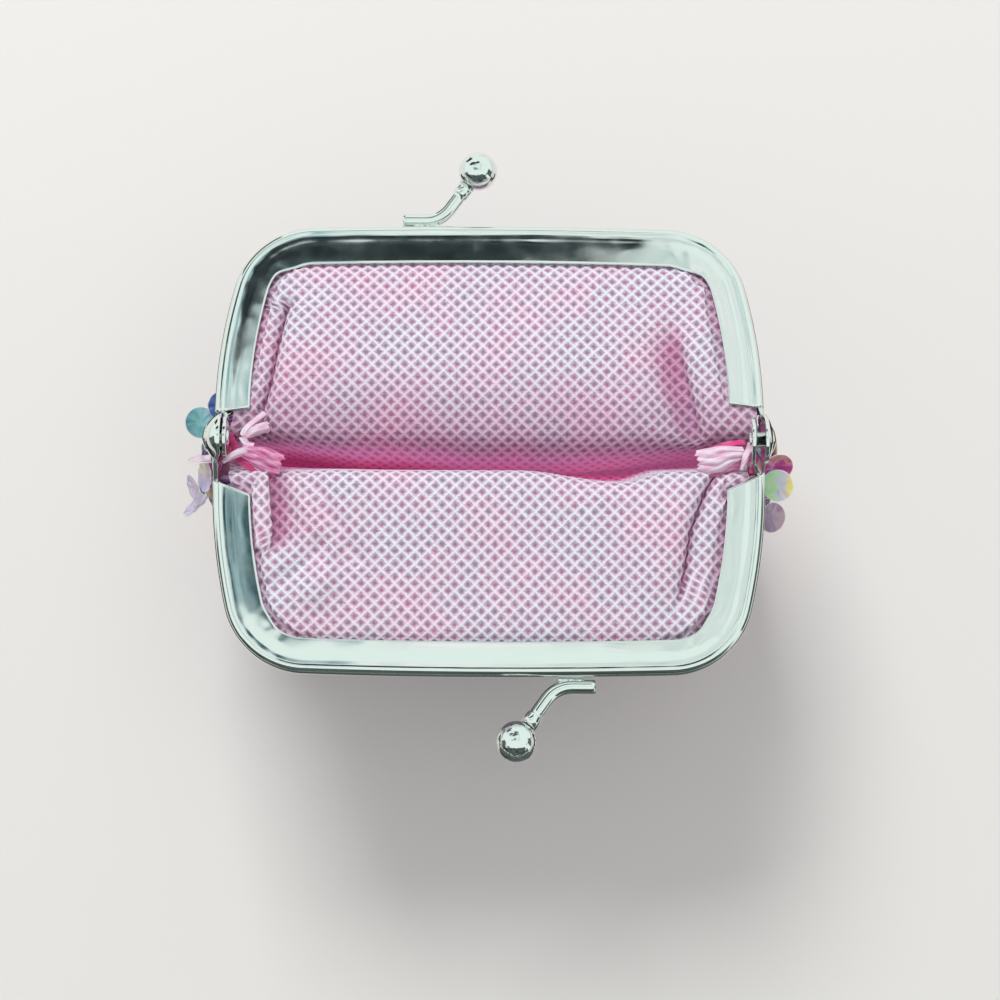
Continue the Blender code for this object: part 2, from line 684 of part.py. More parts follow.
halves = [
    ("back", BACK_BALL_X, BACK_FOLDS, 0),
    ("front", -FRONT_BALL_X, FRONT_FOLDS, math.pi),
]
for prefix, ball_x, folds, turn in halves:
    pivot = add_object(prefix + "_pivot", None, purse)
    pivot.location.z = HINGE_HEIGHT
    pivot.rotation_euler = (-OPEN_ANGLE, 0, turn)
    make_frame_half(prefix + "_frame_half", polished_steel, pivot, purse, guides)
    make_paper_cord(prefix + "_paper_cord", paper, pivot, purse)
    make_clasp(prefix, ball_x, polished_steel, pivot, purse)
    lining_level = INNER_FACE + FRAME_SHEET + CLOTH_CLEARANCE
    shell_level = INNER_FACE + CHANNEL_THICKNESS - FRAME_SHEET - TOUCH_GAP - SHELL_THICKNESS
    make_mouth_lining(
        prefix + "_mouth_lining", lining_level, folds, pink_lining, pivot, purse,
    )
    make_mouth_shell(prefix + "_mouth_shell", shell_level, sequin_cloth, pivot, purse)
    make_pouch_layer(
        prefix + "_pouch_shell", 0, POUCH_SHELL_THICKNESS, turn, sequin_cloth, purse,
    )
    make_pouch_layer(
        prefix + "_pouch_lining", POUCH_SHELL_THICKNESS + LAYER_CLEARANCE, POUCH_LINING_THICKNESS,
        turn, pink_lining, purse,
    )

for side, prefix in ((-1, "left"), (1, "right")):
    make_rivet(prefix + "_hinge_rivet", side, polished_steel, purse)
    make_seam_end(prefix + "_seam_end", side, pink_lining, purse)

for side, prefix, placings in ((-1, "left", LEFT_SEQUINS), (1, "right", RIGHT_SEQUINS)):
    for number, placing in enumerate(placings, 1):
        make_sequin(f"{prefix}_sequin_{number}", side, placing, sequin_film, purse)
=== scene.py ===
"""Sequin coin purse with a ball clasp frame, standing with its mouth held wide open.

The purse is built in the order in which it is put together: the outer cloth and its sequins, the
lining, the ends of the side seams, then the frame with its hinges and clasp, and the studio last.
"""
import bisect
import functools
import itertools
import json
import math
import random

import bmesh
import bpy
from mathutils import Matrix, Vector, noise


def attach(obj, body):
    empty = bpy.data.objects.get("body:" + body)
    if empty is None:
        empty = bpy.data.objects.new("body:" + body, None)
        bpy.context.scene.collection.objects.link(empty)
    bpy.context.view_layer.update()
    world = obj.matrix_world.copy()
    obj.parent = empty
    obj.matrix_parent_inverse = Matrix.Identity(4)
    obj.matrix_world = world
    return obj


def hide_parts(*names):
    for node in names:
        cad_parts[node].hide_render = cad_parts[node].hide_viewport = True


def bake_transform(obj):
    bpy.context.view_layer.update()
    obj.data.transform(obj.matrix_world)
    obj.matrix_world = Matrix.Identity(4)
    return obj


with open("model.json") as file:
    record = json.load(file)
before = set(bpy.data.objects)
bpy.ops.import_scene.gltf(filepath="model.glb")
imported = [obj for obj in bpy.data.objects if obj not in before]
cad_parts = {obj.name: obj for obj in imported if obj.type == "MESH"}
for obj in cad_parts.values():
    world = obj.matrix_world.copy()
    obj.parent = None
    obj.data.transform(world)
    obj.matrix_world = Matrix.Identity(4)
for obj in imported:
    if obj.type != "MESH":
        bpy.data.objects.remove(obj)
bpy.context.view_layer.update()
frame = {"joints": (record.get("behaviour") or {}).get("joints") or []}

# Outer cloth. Thin pink satin, cut in a front and a back, sewn together down the sides and along
# the bottom. Its upper edge is pressed into the frame's channel, so beside each half of the open
# frame it runs level, and then it turns down over the hinge line and fills out into the pouch.
MM = 0.001
HALVES = {"back": 1, "front": -1}        # and each one's side of the hinge line
HINGE_Z = frame["joints"][0]["pos_m"][2] / MM
OPEN_DROP = math.radians(5)
HALF_WIDTH = 42.7
HALF_HEIGHT = 36.6
LEG_WIDEST_AT = 6.1
LEG_RADIUS = 88
CORNER_RADIUS = 13
BAR_RADIUS = 950
CLOTH_EDGE = 3.2
SEAM_HALF_GAP = 0.15
OUTER_COLUMNS = 110
OUTER_ROWS = 120
OUTER_THICKNESS = 0.45
OUTER_IN_FRAME = [
    # distance from the hinge, depth below the frame's inner face, half width
    (33.4, 3.0, 39.4), (30.5, 3.0, 39.4), (26, 3.1, 39.6), (18, 3.3, 39.8), (10, 3.6, 39.8),
    (6.6, 3.8, 39.8),
]
OUTER_IN_POUCH = [
    # drop below the hinge, half depth, half width, boxiness of the section, drop of the ends
    (6.6, 5.6, 41.0, 0.35, 1.5), (11.5, 6.1, 44.0, 0.4, 0), (19, 8.9, 45.0, 0.55, 0),
    (28, 14.0, 45.0, 0.75, 0), (36, 16.7, 44.8, 0.85, 0), (46, 16.3, 43.4, 0.95, -1.5),
    (53.0, 14.0, 39.8, 1.0, -3.5), (56.2, 9.5, 35.8, 1.0, -6.0), (56.9, 4.0, 33.8, 1.0, -7.0),
    (56.9, 0.0, 33.3, 1.0, -7.0),
]
LOWEST_CLOTH = 0.9
OUTER_CLOTH_WIDTH = 90


def centre_of_corner():
    """Centre of the arc that joins a leg of the frame to its bar."""
    leg = Vector((HALF_WIDTH - LEG_RADIUS, LEG_WIDEST_AT))
    bar = Vector((0, HALF_HEIGHT - BAR_RADIUS))
    to_leg = LEG_RADIUS - CORNER_RADIUS
    to_bar = BAR_RADIUS - CORNER_RADIUS
    across = bar - leg
    along = (to_leg ** 2 - to_bar ** 2 + across.length_squared) / (2 * across.length)
    aside = math.sqrt(to_leg ** 2 - along ** 2)
    direction = across.normalized()
    return leg + direction * along + Vector((-direction.y, direction.x)) * aside


CORNER = centre_of_corner()


def on_half(side, x, s, n):
    """World place, in mm, of a point of a frame half: s out from the hinge, n below its face."""
    y = s * math.cos(OPEN_DROP) - n * math.sin(OPEN_DROP)
    z = HINGE_Z - s * math.sin(OPEN_DROP) - n * math.cos(OPEN_DROP)
    return Vector((x, side * y, z))


def bar_height(x, inset):
    return HALF_HEIGHT - BAR_RADIUS + math.sqrt((BAR_RADIUS - inset) ** 2 - x * x)


def half_width_at(s, inset):
    """Half width inside the frame's outline, inset from its back, at s out from the hinge."""
    if s > CORNER.y:
        rise = min((s - CORNER.y) / (CORNER_RADIUS - inset), 1)
        return CORNER.x + (CORNER_RADIUS - inset) * math.sqrt(1 - rise * rise)
    reach = LEG_RADIUS - inset
    return HALF_WIDTH - LEG_RADIUS + math.sqrt(reach ** 2 - (s - LEG_WIDEST_AT) ** 2)


def clamp(value):
    return min(max(value, 0), 1)


def smooth(low, high, value):
    """0 below low, 1 above high, and a soft step between them."""
    t = clamp((value - low) / (high - low))
    return t * t * (3 - 2 * t)


def mix(a, b, share):
    return a + (b - a) * share


def bump(value, centre, width):
    return math.exp(-((value - centre) / width) ** 2)


def spline(rows, place):
    """Numbers at a place from 0 to 1 along a smooth curve through rows of numbers."""
    span = place * (len(rows) - 1)
    index = min(int(span), len(rows) - 2)
    t = span - index
    before = rows[max(index - 1, 0)]
    after = rows[min(index + 2, len(rows) - 1)]
    values = []
    for a, b, c, d in zip(before, rows[index], rows[index + 1], after):
        slope_in, slope_out = (c - a) / 2, (d - b) / 2
        values.append(
            b * (2 * t ** 3 - 3 * t ** 2 + 1) + slope_in * (t ** 3 - 2 * t ** 2 + t)
            + c * (3 * t ** 2 - 2 * t ** 3) + slope_out * (t ** 3 - t ** 2)
        )
    return values


def dense_path(rows, steps):
    """Rows of numbers close together along a smooth curve, and the length up to each."""
    dense = [spline(rows, step / steps) for step in range(steps + 1)]
    spans = (math.dist(a[:2], b[:2]) for a, b in zip(dense, dense[1:]))
    return dense, [0.0, *itertools.accumulate(spans)]


def along_path(path, distance):
    """The row of numbers at a distance along a dense path."""
    dense, length = path
    high = bisect.bisect_right(length, distance, 1, len(length) - 1)
    share = clamp((distance - length[high - 1]) / max(length[high] - length[high - 1], 1e-9))
    return [mix(a, b, share) for a, b in zip(dense[high - 1], dense[high])]


def outer_path():
    """Out, height, half width, boxiness, closing and end drop, down the middle of the cloth."""
    rows = []
    for s, n, width in OUTER_IN_FRAME:
        place = on_half(1, 0, s, n)
        rows.append((place.y, place.z, width, 0.0, 0.0, 0.0))
    for drop, depth, width, boxiness, end_drop in OUTER_IN_POUCH:
        rows.append((depth, HINGE_Z - drop, width, boxiness, 1.0, end_drop))
    return dense_path(rows, 400)


OUTER_PATH = outer_path()
OUTER_LENGTH = OUTER_PATH[1][-1]


def outer_point(side, u, distance):
    """Place on the outer cloth, u from -1 to 1 across and a distance down from the channel."""
    out, z, width, boxiness, closing, end_drop = along_path(OUTER_PATH, distance)
    turn = u * math.pi / 2
    across = mix(u, math.sin(turn), closing)
    s = out / math.cos(OPEN_DROP)
    if closing < 1 and s > 5:
        width = min(width, mix(half_width_at(s, CLOTH_EDGE), width, closing))
    bulge = max(math.cos(turn), 0) ** max(boxiness, 0.02)
    y = SEAM_HALF_GAP + max(out, 0) * mix(1, bulge, closing)
    z -= end_drop * smooth(0.5, 1.0, abs(across))
    return Vector((width * across, side * y, max(z, LOWEST_CLOTH)))


def grid_mesh(columns, rows, place, flat=None):
    """A sheet of columns by rows faces, its corners put at place(column, row) in mm.

    The map "cloth" holds where each corner lay on the flat cloth, in units of 100 mm.
    """
    bm = bmesh.new()
    bmesh.ops.create_grid(bm, x_segments=columns, y_segments=rows, size=0.5, calc_uvs=False)
    cloth = bm.loops.layers.uv.new("cloth")
    for index, vert in enumerate(bm.verts):
        row, column = divmod(index, columns + 1)
        vert.co = Vector(place(column, row)) * MM
        if flat:
            lay = Vector(flat(column, row)) / 100
            for loop in vert.link_loops:
                loop[cloth].uv = lay
    return bm


def object_from(bm, name, material):
    """An object at the origin, from a mesh that is in place."""
    mesh = bpy.data.meshes.new(name)
    bm.to_mesh(mesh)
    bm.free()
    mesh.materials.append(material)
    made = bpy.data.objects.new(name, mesh)
    bpy.context.scene.collection.objects.link(made)
    return made


def piece_from(bm, name, material):
    """A finished piece with its slot."""
    piece = object_from(bm, name, material)
    piece.data.shade_smooth()
    return piece


def solidify(piece, thickness):
    wall = piece.modifiers.new("wall", "SOLIDIFY")
    wall.thickness = thickness * MM
    wall.offset = -1


def blend_over_hinge(piece):
    """Bake the piece's transform into its mesh."""
    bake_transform(piece)


def colour(hexes):
    """Linear colour of an sRGB hex string."""
    parts = [int(hexes[i:i + 2], 16) / 255 for i in (0, 2, 4)]
    linear = [p / 12.92 if p <= 0.04045 else ((p + 0.055) / 1.055) ** 2.4 for p in parts]
    return (*linear, 1.0)


def feed(tree, made, inputs):
    """Set or link a node's inputs, by name or number.

    A node as a source stands for its first output in use.
    """
    for socket, source in inputs.items():
        if isinstance(source, bpy.types.Node):
            source = next(output for output in source.outputs if output.enabled)
        if isinstance(source, bpy.types.NodeSocket):
            tree.links.new(source, made.inputs[socket])
        else:
            made.inputs[socket].default_value = source


def node(tree, kind, inputs, **settings):
    """Add a shader node, set its properties, and feed its inputs."""
    made = tree.nodes.new("ShaderNode" + kind)
    for name, value in settings.items():
        setattr(made, name, value)
    feed(tree, made, inputs)
    return made


def new_material(name, values):
    """A material with its shader's own values set. Returns its tree and its shader too."""
    material = bpy.data.materials.new(name)
    material.use_nodes = True
    tree = material.node_tree
    shader = tree.nodes["Principled BSDF"]
    feed(tree, shader, values)
    return material, tree, shader


satin, tree, shader = new_material("pink_polyester_satin", {"Roughness": 0.4, "Sheen Weight": 0.3})
lay = node(tree, "UVMap", {}, uv_map="cloth")
tone = node(tree, "TexNoise", {"Vector": lay, "Scale": 30.0, "Detail": 3.0})
dyed = node(tree, "Mix", {0: tone, 6: colour("B9759F"), 7: colour("E3A6C8")}, data_type="RGBA")
feed(tree, shader, {"Base Color": dyed})

for prefix, side in HALVES.items():
    def outer_place(column, row):
        return outer_point(side, 2 * column / OUTER_COLUMNS - 1, OUTER_LENGTH * row / OUTER_ROWS)

    def outer_flat(column, row):
        return OUTER_CLOTH_WIDTH * column / OUTER_COLUMNS, OUTER_LENGTH * row / OUTER_ROWS

    bm = grid_mesh(OUTER_COLUMNS, OUTER_ROWS, outer_place, outer_flat)
    if side < 0:
        bmesh.ops.reverse_faces(bm, faces=bm.faces)
    cloth = piece_from(bm, prefix + "_outer_cloth", satin)
    solidify(cloth, OUTER_THICKNESS)
    blend_over_hinge(cloth)
    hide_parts(prefix + "_pouch_shell", prefix + "_mouth_shell")

# Sequins. Thin cupped discs of pearly film, 5 mm across, sewn in overlapping rows all over the outer
# cloth, as roof tiles are laid, each by a thread near its upper edge, under the row above. The film
# is mixed: clear, cream, lilac, pink, aqua and blue, and its coating shifts in colour as it curves.
SEQUIN_RADIUS = 2.5
SEQUIN_CUP = 0.3
SEQUIN_FILM = 0.12
SEQUIN_SIDES = 14
SEQUIN_SPACING = 4.1
SEQUIN_ROW_PITCH = 3.2
FIRST_SEQUIN_ROW = 5.6
LAST_SEQUIN_ROW_BEFORE_SEAM = 4.0
OUTER_FLANGE_DEPTH = 6.0
SEQUIN_LIFT = 0.75
SEQUIN_LIFT_SPREAD = (-0.12, 0.18)
SEQUIN_SHADE_SPREAD = (0.9, 1.08)
SEQUIN_LEAN = 11
SEQUIN_UNEVEN = (4, 5)        # spread of their lean and of their sway, in degrees
LOOSE_SEQUIN_UNEVEN = (12, 12)
LOOSE_SEQUIN_SHARE = 0.12
SEQUIN_ROW_INSET = 0.6 * SEQUIN_RADIUS
SEQUIN_ROW_SAMPLES = 90
FILMS = {
    "clear": "E6DFEE", "cream": "F3ECCB", "lilac": "C9AEE3", "pink": "F2B3D3",
    "aqua": "93DAD8", "blue": "86AEE8", "rose": "E069AE",
}
FILM_MIX = ["clear"] * 5 + ["cream"] * 3 + ["lilac"] * 4 + ["pink"] * 4
FILM_MIX += ["aqua"] * 3 + ["blue"] * 2 + ["rose"]


def weld(bm, distance):
    """Join the corners that lie together and turn all faces outward."""
    bmesh.ops.remove_doubles(bm, verts=bm.verts, dist=distance)
    bmesh.ops.recalc_face_normals(bm, faces=bm.faces)


def spun(profile, axis, steps):
    """A closed solid in mm, spun about an axis from the points of its profile."""
    bm = bmesh.new()
    verts = [bm.verts.new(point) for point in profile]
    edges = [bm.edges.new(pair) for pair in zip(verts, verts[1:])]
    bmesh.ops.spin(
        bm, geom=verts + edges, cent=(0, 0, 0), axis=axis, angle=2 * math.pi,
        steps=steps, use_merge=True, use_duplicate=False,
    )
    weld(bm, 1e-4)
    return bm


def sequin_mesh():
    """One cupped disc in mm, with a colour for its film."""
    half = SEQUIN_FILM / 2
    bm = spun([
        (0, 0, half), (SEQUIN_RADIUS, 0, SEQUIN_CUP + half),
        (SEQUIN_RADIUS, 0, SEQUIN_CUP - half), (0, 0, -half),
    ], (0, 0, 1), SEQUIN_SIDES)
    bm.verts.layers.float_color.new("film")
    mesh = bpy.data.meshes.new("sequin")
    bm.to_mesh(mesh)
    bm.free()
    return mesh


def add_sequin(bm, matrix, film, draw):
    """Add a disc to a mesh in metres, at a matrix in mm, with its film's colour a little varied."""
    disc = SEQUIN.copy()
    disc.transform(Matrix.Scale(MM, 4) @ matrix)
    shade = [min(c * draw.uniform(*SEQUIN_SHADE_SPREAD), 1) for c in colour(FILMS[film])[:3]]
    tint = disc.attributes["film"].data
    tint.foreach_set("color", (*shade, 1.0) * len(tint))
    bm.from_mesh(disc)
    bpy.data.meshes.remove(disc)


def see_through(tree, shader, hexes, solid_share):
    """Let a material's film be partly clear: the share that is solid keeps its shader."""
    clear = node(tree, "BsdfTransparent", {"Color": colour(hexes)})
    through = node(tree, "MixShader", {0: solid_share, 1: clear, 2: shader})
    feed(tree, tree.nodes["Material Output"], {"Surface": through})


def film_material():
    """Clear polyester film with a pearl coating: glossy, a little see-through, and shifting."""
    material, tree, shader = new_material("pearl_coated_polyester_film", {
        "Roughness": 0.16, "IOR": 1.64, "Coat Weight": 0.6, "Coat Roughness": 0.06,
        "Thin Film Thickness": 420.0, "Thin Film IOR": 1.9,
    })
    tint = node(tree, "Attribute", {}, attribute_name="film")
    shift = node(tree, "LayerWeight", {"Blend": 0.35})
    ramp = node(tree, "ValToRGB", {"Fac": shift.outputs["Facing"]})
    stops = ramp.color_ramp.elements
    stops[0].color = colour("FFFFFF")
    stops[1].color = colour("B8E8F2")
    for place, hexes in ((0.3, "FFF6D8"), (0.55, "F6B8E0"), (0.8, "BDB2F5")):
        stops.new(place).color = colour(hexes)
    pearl = node(tree, "Mix", {0: 0.55, 6: tint, 7: ramp}, data_type="RGBA", blend_type="MULTIPLY")
    feed(tree, shader, {"Base Color": pearl})
    see_through(tree, shader, "F6E8F4", 0.82)
    return material


SEQUIN = sequin_mesh()
film = film_material()


def cloth_frame(side, u, distance):
    """Place on the outer cloth with its directions across, down the cloth and outward."""
    here = outer_point(side, u, distance)
    across = outer_point(side, min(u + 0.01, 1), distance)
    across -= outer_point(side, max(u - 0.01, -1), distance)
    down = outer_point(side, u, distance + 0.4) - outer_point(side, u, distance - 0.4)
    across.normalize()
    outward = across.cross(down).normalized() * side
    down = outward.cross(across) * side
    return here, across, down.normalized(), outward


def sequin_row(bm, side, distance, offset, draw):
    """Sew one row of sequins across the cloth, evenly spaced along its surface."""
    places = [(2 * k / SEQUIN_ROW_SAMPLES - 1,) for k in range(SEQUIN_ROW_SAMPLES + 1)]
    line = [outer_point(side, u, distance) for u, in places]
    length = [0.0, *itertools.accumulate((b - a).length for a, b in zip(line, line[1:]))]
    room = length[-1] - 2 * SEQUIN_ROW_INSET
    count = max(int(room / SEQUIN_SPACING), 1)
    for k in range(count + 1 - offset):
        target = SEQUIN_ROW_INSET + (k + offset / 2) * room / count
        u, = along_path((places, length), target)
        here, across, down, outward = cloth_frame(side, u, distance)
        s = abs(here.y)        # none is sewn under the frame's legs
        if here.z > HINGE_Z - 8 and s > 4.5 and abs(here.x) > half_width_at(s, OUTER_FLANGE_DEPTH + 2):
            continue
        axes = Matrix((-side * across, -down, outward)).transposed().to_4x4()
        uneven = LOOSE_SEQUIN_UNEVEN if draw.random() < LOOSE_SEQUIN_SHARE else SEQUIN_UNEVEN
        lean = math.radians(SEQUIN_LEAN + draw.gauss(0, uneven[0]))
        sway = math.radians(draw.gauss(0, uneven[1]))
        turn = Matrix.Rotation(draw.uniform(0, math.pi), 4, "Z")
        tilt = Matrix.Rotation(lean, 4, "X") @ Matrix.Rotation(sway, 4, "Y")
        lift = SEQUIN_LIFT + draw.uniform(*SEQUIN_LIFT_SPREAD)
        matrix = Matrix.Translation(here + outward * lift) @ axes @ tilt @ turn
        lowest = matrix.translation.z - SEQUIN_RADIUS * math.hypot(*matrix.to_3x3().row[2][:2])
        if lowest < SEQUIN_CUP:
            matrix.translation.z += SEQUIN_CUP - lowest
        add_sequin(bm, matrix, draw.choice(FILM_MIX), draw)


for prefix, side in HALVES.items():
    draw = random.Random(prefix)
    bm = bmesh.new()
    bm.verts.layers.float_color.new("film")
    distance = FIRST_SEQUIN_ROW
    offset = 0
    while distance < OUTER_LENGTH - LAST_SEQUIN_ROW_BEFORE_SEAM:
        sequin_row(bm, side, distance, offset, draw)
        distance += SEQUIN_ROW_PITCH
        offset = 1 - offset
    sequins = piece_from(bm, prefix + "_sequins", film)
    blend_over_hinge(sequins)
    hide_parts(prefix + "_pouch_shell")

# Lining. Pale pink spunbond cloth, pressed in a net of fine ridges round small pits 2 mm apart. It
# is wider than the frame, so it gathers into a fold beside each leg, and it bends down over a
# rounded lip into the pouch. Painted shade makes its fold valleys and the pouch below the lip
# pinker and darker, and deep in the pouch a painted glow stands for light come through pink cloth.
NET_PITCH = 2.04
NET_STEPS = 6
NET_DEPTH = 0.22
LINING_STEP = NET_PITCH / NET_STEPS
LINING_HALF_CLOTH = 43.18
LINING_HALF_WIDTH = 40.6
LINING_COLUMNS = round(2 * LINING_HALF_CLOTH / LINING_STEP)
LINING_FINE_ROWS = 132
LINING_COARSE_ROWS = 40
LINING_THICKNESS = 0.22
LINING_FINE_LENGTH = LINING_FINE_ROWS * LINING_STEP
LINING_END_LIFT = 7.0
LINING_INSET = 5.4
HEM_LEVEL = 1.1
LINING_IN_FRAME = {
    # distance from the hinge and depth below the frame's face, down the middle
    1: [(33.6, 1.2), (31.4, 1.1), (29.9, 0.85), (28.2, 0.1), (25.0, -0.15), (18.0, -0.15), (11.0, 0.2)],
    -1: [(33.6, 1.2), (32.6, 1.1), (31.3, 0.85), (29.7, 0.1), (26.0, -0.2), (18.0, -0.3), (10.5, -0.3)],
}
LINING_IN_POUCH = [
    # out from the hinge line, drop below it, and how far the section has closed at the sides
    (6.3, 25, 1.0), (12.4, 36, 1.0), (12.8, 45.5, 1.0),
    (9.0, 53.0, 1.0), (3.5, 55.4, 1.0), (0.2, 55.7, 1.0),
]
BACK_THROAT = [
    # x, and how far behind the hinge line the back lining goes down into the pouch
    (-38, 0.2), (-31, -0.5), (-26, -1.3), (-20, -2.3), (14, -2.4), (24, -1.6), (31, -0.6), (38, 0.2),
]
FOLDS = [
    # half, leg, line of the valley as distance from the hinge and x, where the fold fades out at
    # its top, and its section: distance from the valley toward the middle, flat and folded, dip
    (1, -1, [(1, -35.8), (9, -33.6), (15, -32.7), (23, -31.2)], (21.5, 24.5), [
        (-3.2, -3.1, 0.15), (-2.2, -2.1, 0.35), (-1.2, -1.1, 1.0), (-0.2, -0.3, 2.2), (0.8, -0.5, 1.5),
        (1.5, -0.1, 0.3), (2.3, 0.9, -0.55), (4.0, 3.2, -0.45), (8.0, 8.0, 0.0),
    ]),
    (1, 1, [(1, 33.0), (8, 31.2), (15, 29.8), (22, 28.8)], (10.0, 25.0), [
        (-5.0, -5.0, 0.0), (-2.8, -2.6, -0.3), (-1.2, -0.9, 0.6), (0.0, 0.1, 2.2),
        (1.2, 1.2, 2.2), (3.4, 3.4, 1.35), (6.2, 6.2, 0.4), (10.0, 10.0, -0.1), (13.0, 13.0, 0.0),
    ]),
    (-1, -1, [(4, -34.6), (11, -33.9), (16, -33.4)], (14.0, 20.0), [
        (-2.4, -2.2, -0.1), (-1.2, -0.4, -0.45), (-0.5, 0.5, 0.2), (0.1, 0.0, 1.5),
        (0.9, 0.6, 2.0), (2.0, 1.9, 1.5), (4.0, 4.0, 0.6), (7.0, 7.0, 0.0),
    ]),
    (-1, 1, [(4, 35.2), (8, 32.9), (14, 30.7), (25, 29.0)], (20.0, 29.0), [
        (-4.0, -4.0, 0.2), (-2.6, -2.4, 0.1), (-1.2, -1.0, 0.7), (-0.2, -0.1, 2.2),
        (0.4, -0.3, 1.7), (1.2, 0.3, 0.3), (2.4, 1.8, -0.45), (4.6, 4.4, -0.35), (9.0, 9.0, 0.0),
    ]),
]
SOFT_FORMS = {
    # from x and s, to x and s, height and half width of the low swells and dents of the cloth
    1: [
        (-26.0, 14.0, -24.0, 24.0, 0.3, 3.0), (20.0, 10.0, 27.0, 6.0, -0.4, 3.0),
        (8.0, 12.0, 14.0, 22.0, 0.2, 5.0),
    ],
    -1: [
        (-31.0, 6.0, -24.0, 16.5, 0.95, 1.9), (-28.6, 5.5, -20.6, 18.5, -0.95, 1.4),
        (-26.5, 24.0, -25.0, 22.0, 0.9, 2.4), (-33.4, 23.5, -25.0, 16.5, -0.7, 1.4),
        (14.0, 6.0, 20.0, 3.5, -0.3, 3.0), (18.0, 12.0, 25.0, 20.0, 0.25, 3.5),
    ],
}


def on_line(points, value):
    """Second number of a row of pairs, in proportion to the first."""
    if value <= points[0][0]:
        return points[0][1]
    for (a, low), (b, high) in zip(points, points[1:]):
        if value <= b:
            return mix(low, high, (value - a) / (b - a))
    return points[-1][1]


@functools.cache
def lining_path(side, x):
    """The line of the lining in one column, from inside the channel down to the pouch's sole."""
    rows = []
    for s, n in LINING_IN_FRAME[side]:
        place = on_half(1, x, s, n)
        rows.append((place.y, HINGE_Z - place.z, 0.0))
    if side > 0:
        throat = on_line(BACK_THROAT, x)
        spare = (throat + 2.4) / 2.6        # 0 in its middle, 1 at its ends
        rows += [
            (7.2, mix(1.2, 1.0, spare), 0.0), (mix(3.9, 4.2, spare), mix(1.8, 1.4, spare), 0.0),
            (mix(1.3, 1.9, spare), mix(3.0, 2.3, spare), 0.1),
            (throat + mix(1.5, 0.5, spare), mix(5.6, 4.6, spare), 0.4),
            (throat, 8.6, 0.8), (throat + 0.3, 13.0, 1.0),
        ]
    else:
        # how far out the lip lies: furthest beside the right fold
        lip = 4.5 + 0.3 * smooth(-20, -34, x) + 1.7 * smooth(4, 19.5, x) * (1 - smooth(19.5, 26, x))
        rows += [
            (lip + 1.7, 0.7, 0.0), (lip + 0.1, 1.9, 0.0), (lip - 0.7, 5.2, 0.3),
            (lip - 1.5, 9.0, 0.8), (2.9, 13.0, 1.0),
        ]
    return dense_path(rows + LINING_IN_POUCH, 160)


def lining_section(side, s, level):
    """The folded line across one row, to each leg: x and dip, dense, with the length so far."""
    halves = {}
    for half, leg, valley, (fade_from, fade_to), shape in FOLDS:
        if half != side:
            continue
        fold = (1 - smooth(fade_from, fade_to, s)) * smooth(-4, 4, s)
        inner = half_width_at(max(s, 5.0), LINING_INSET)
        middle = min(abs(on_line(valley, s)), inner - 2.6)
        at_leg = smooth(3.5, 8.0, s)
        line = [(0.0, 0.0), (12.0, 0.0)]
        for flat, folded, dip in reversed(shape):
            line.append((middle - mix(flat, folded, fold), dip * fold))
        line = [(x, dip) for x, dip in line if x < inner - 0.8 or dip * fold > 0.4]
        hem = (HEM_LEVEL - level) * at_leg
        line += [(inner, hem), (half_width_at(max(s, 5.0), 1.0) + 4, hem)]
        halves[leg] = dense_path([(x * leg, dip) for x, dip in line], 120)
    return halves


def net_pit(u, v):
    """Depth of the pressed net, from 0 on its ridges to 1 in its pits."""
    a, b = (u + v) / NET_PITCH, (u - v) / NET_PITCH
    return (abs(math.cos(math.pi * a)) * abs(math.cos(math.pi * b))) ** 1.4


LINING_TOTAL = lining_path(1, 30)[1][-1]


def soft_form(side, x, s):
    """Height of the cloth's low swells and dents at a place on its half."""
    height = 0.0
    for x0, s0, x1, s1, rise, width in SOFT_FORMS[side]:
        way = Vector((x1 - x0, s1 - s0))
        share = clamp(Vector((x - x0, s - s0)).dot(way) / way.length_squared)
        away = math.hypot(x - mix(x0, x1, share), s - mix(s0, s1, share))
        height += rise * math.exp(-(away / width) ** 2)
    return height


def down_lining(row, total):
    """Distance of a row down a line of the lining that is total mm long."""
    if row <= LINING_FINE_ROWS:
        return row * LINING_STEP
    return mix(LINING_FINE_LENGTH, total, (row - LINING_FINE_ROWS) / LINING_COARSE_ROWS)


def lining_lay(column, row):
    """Where a corner of the lining's grid lay on the flat cloth, in mm."""
    return column * LINING_STEP - LINING_HALF_CLOTH, down_lining(row, LINING_TOTAL)


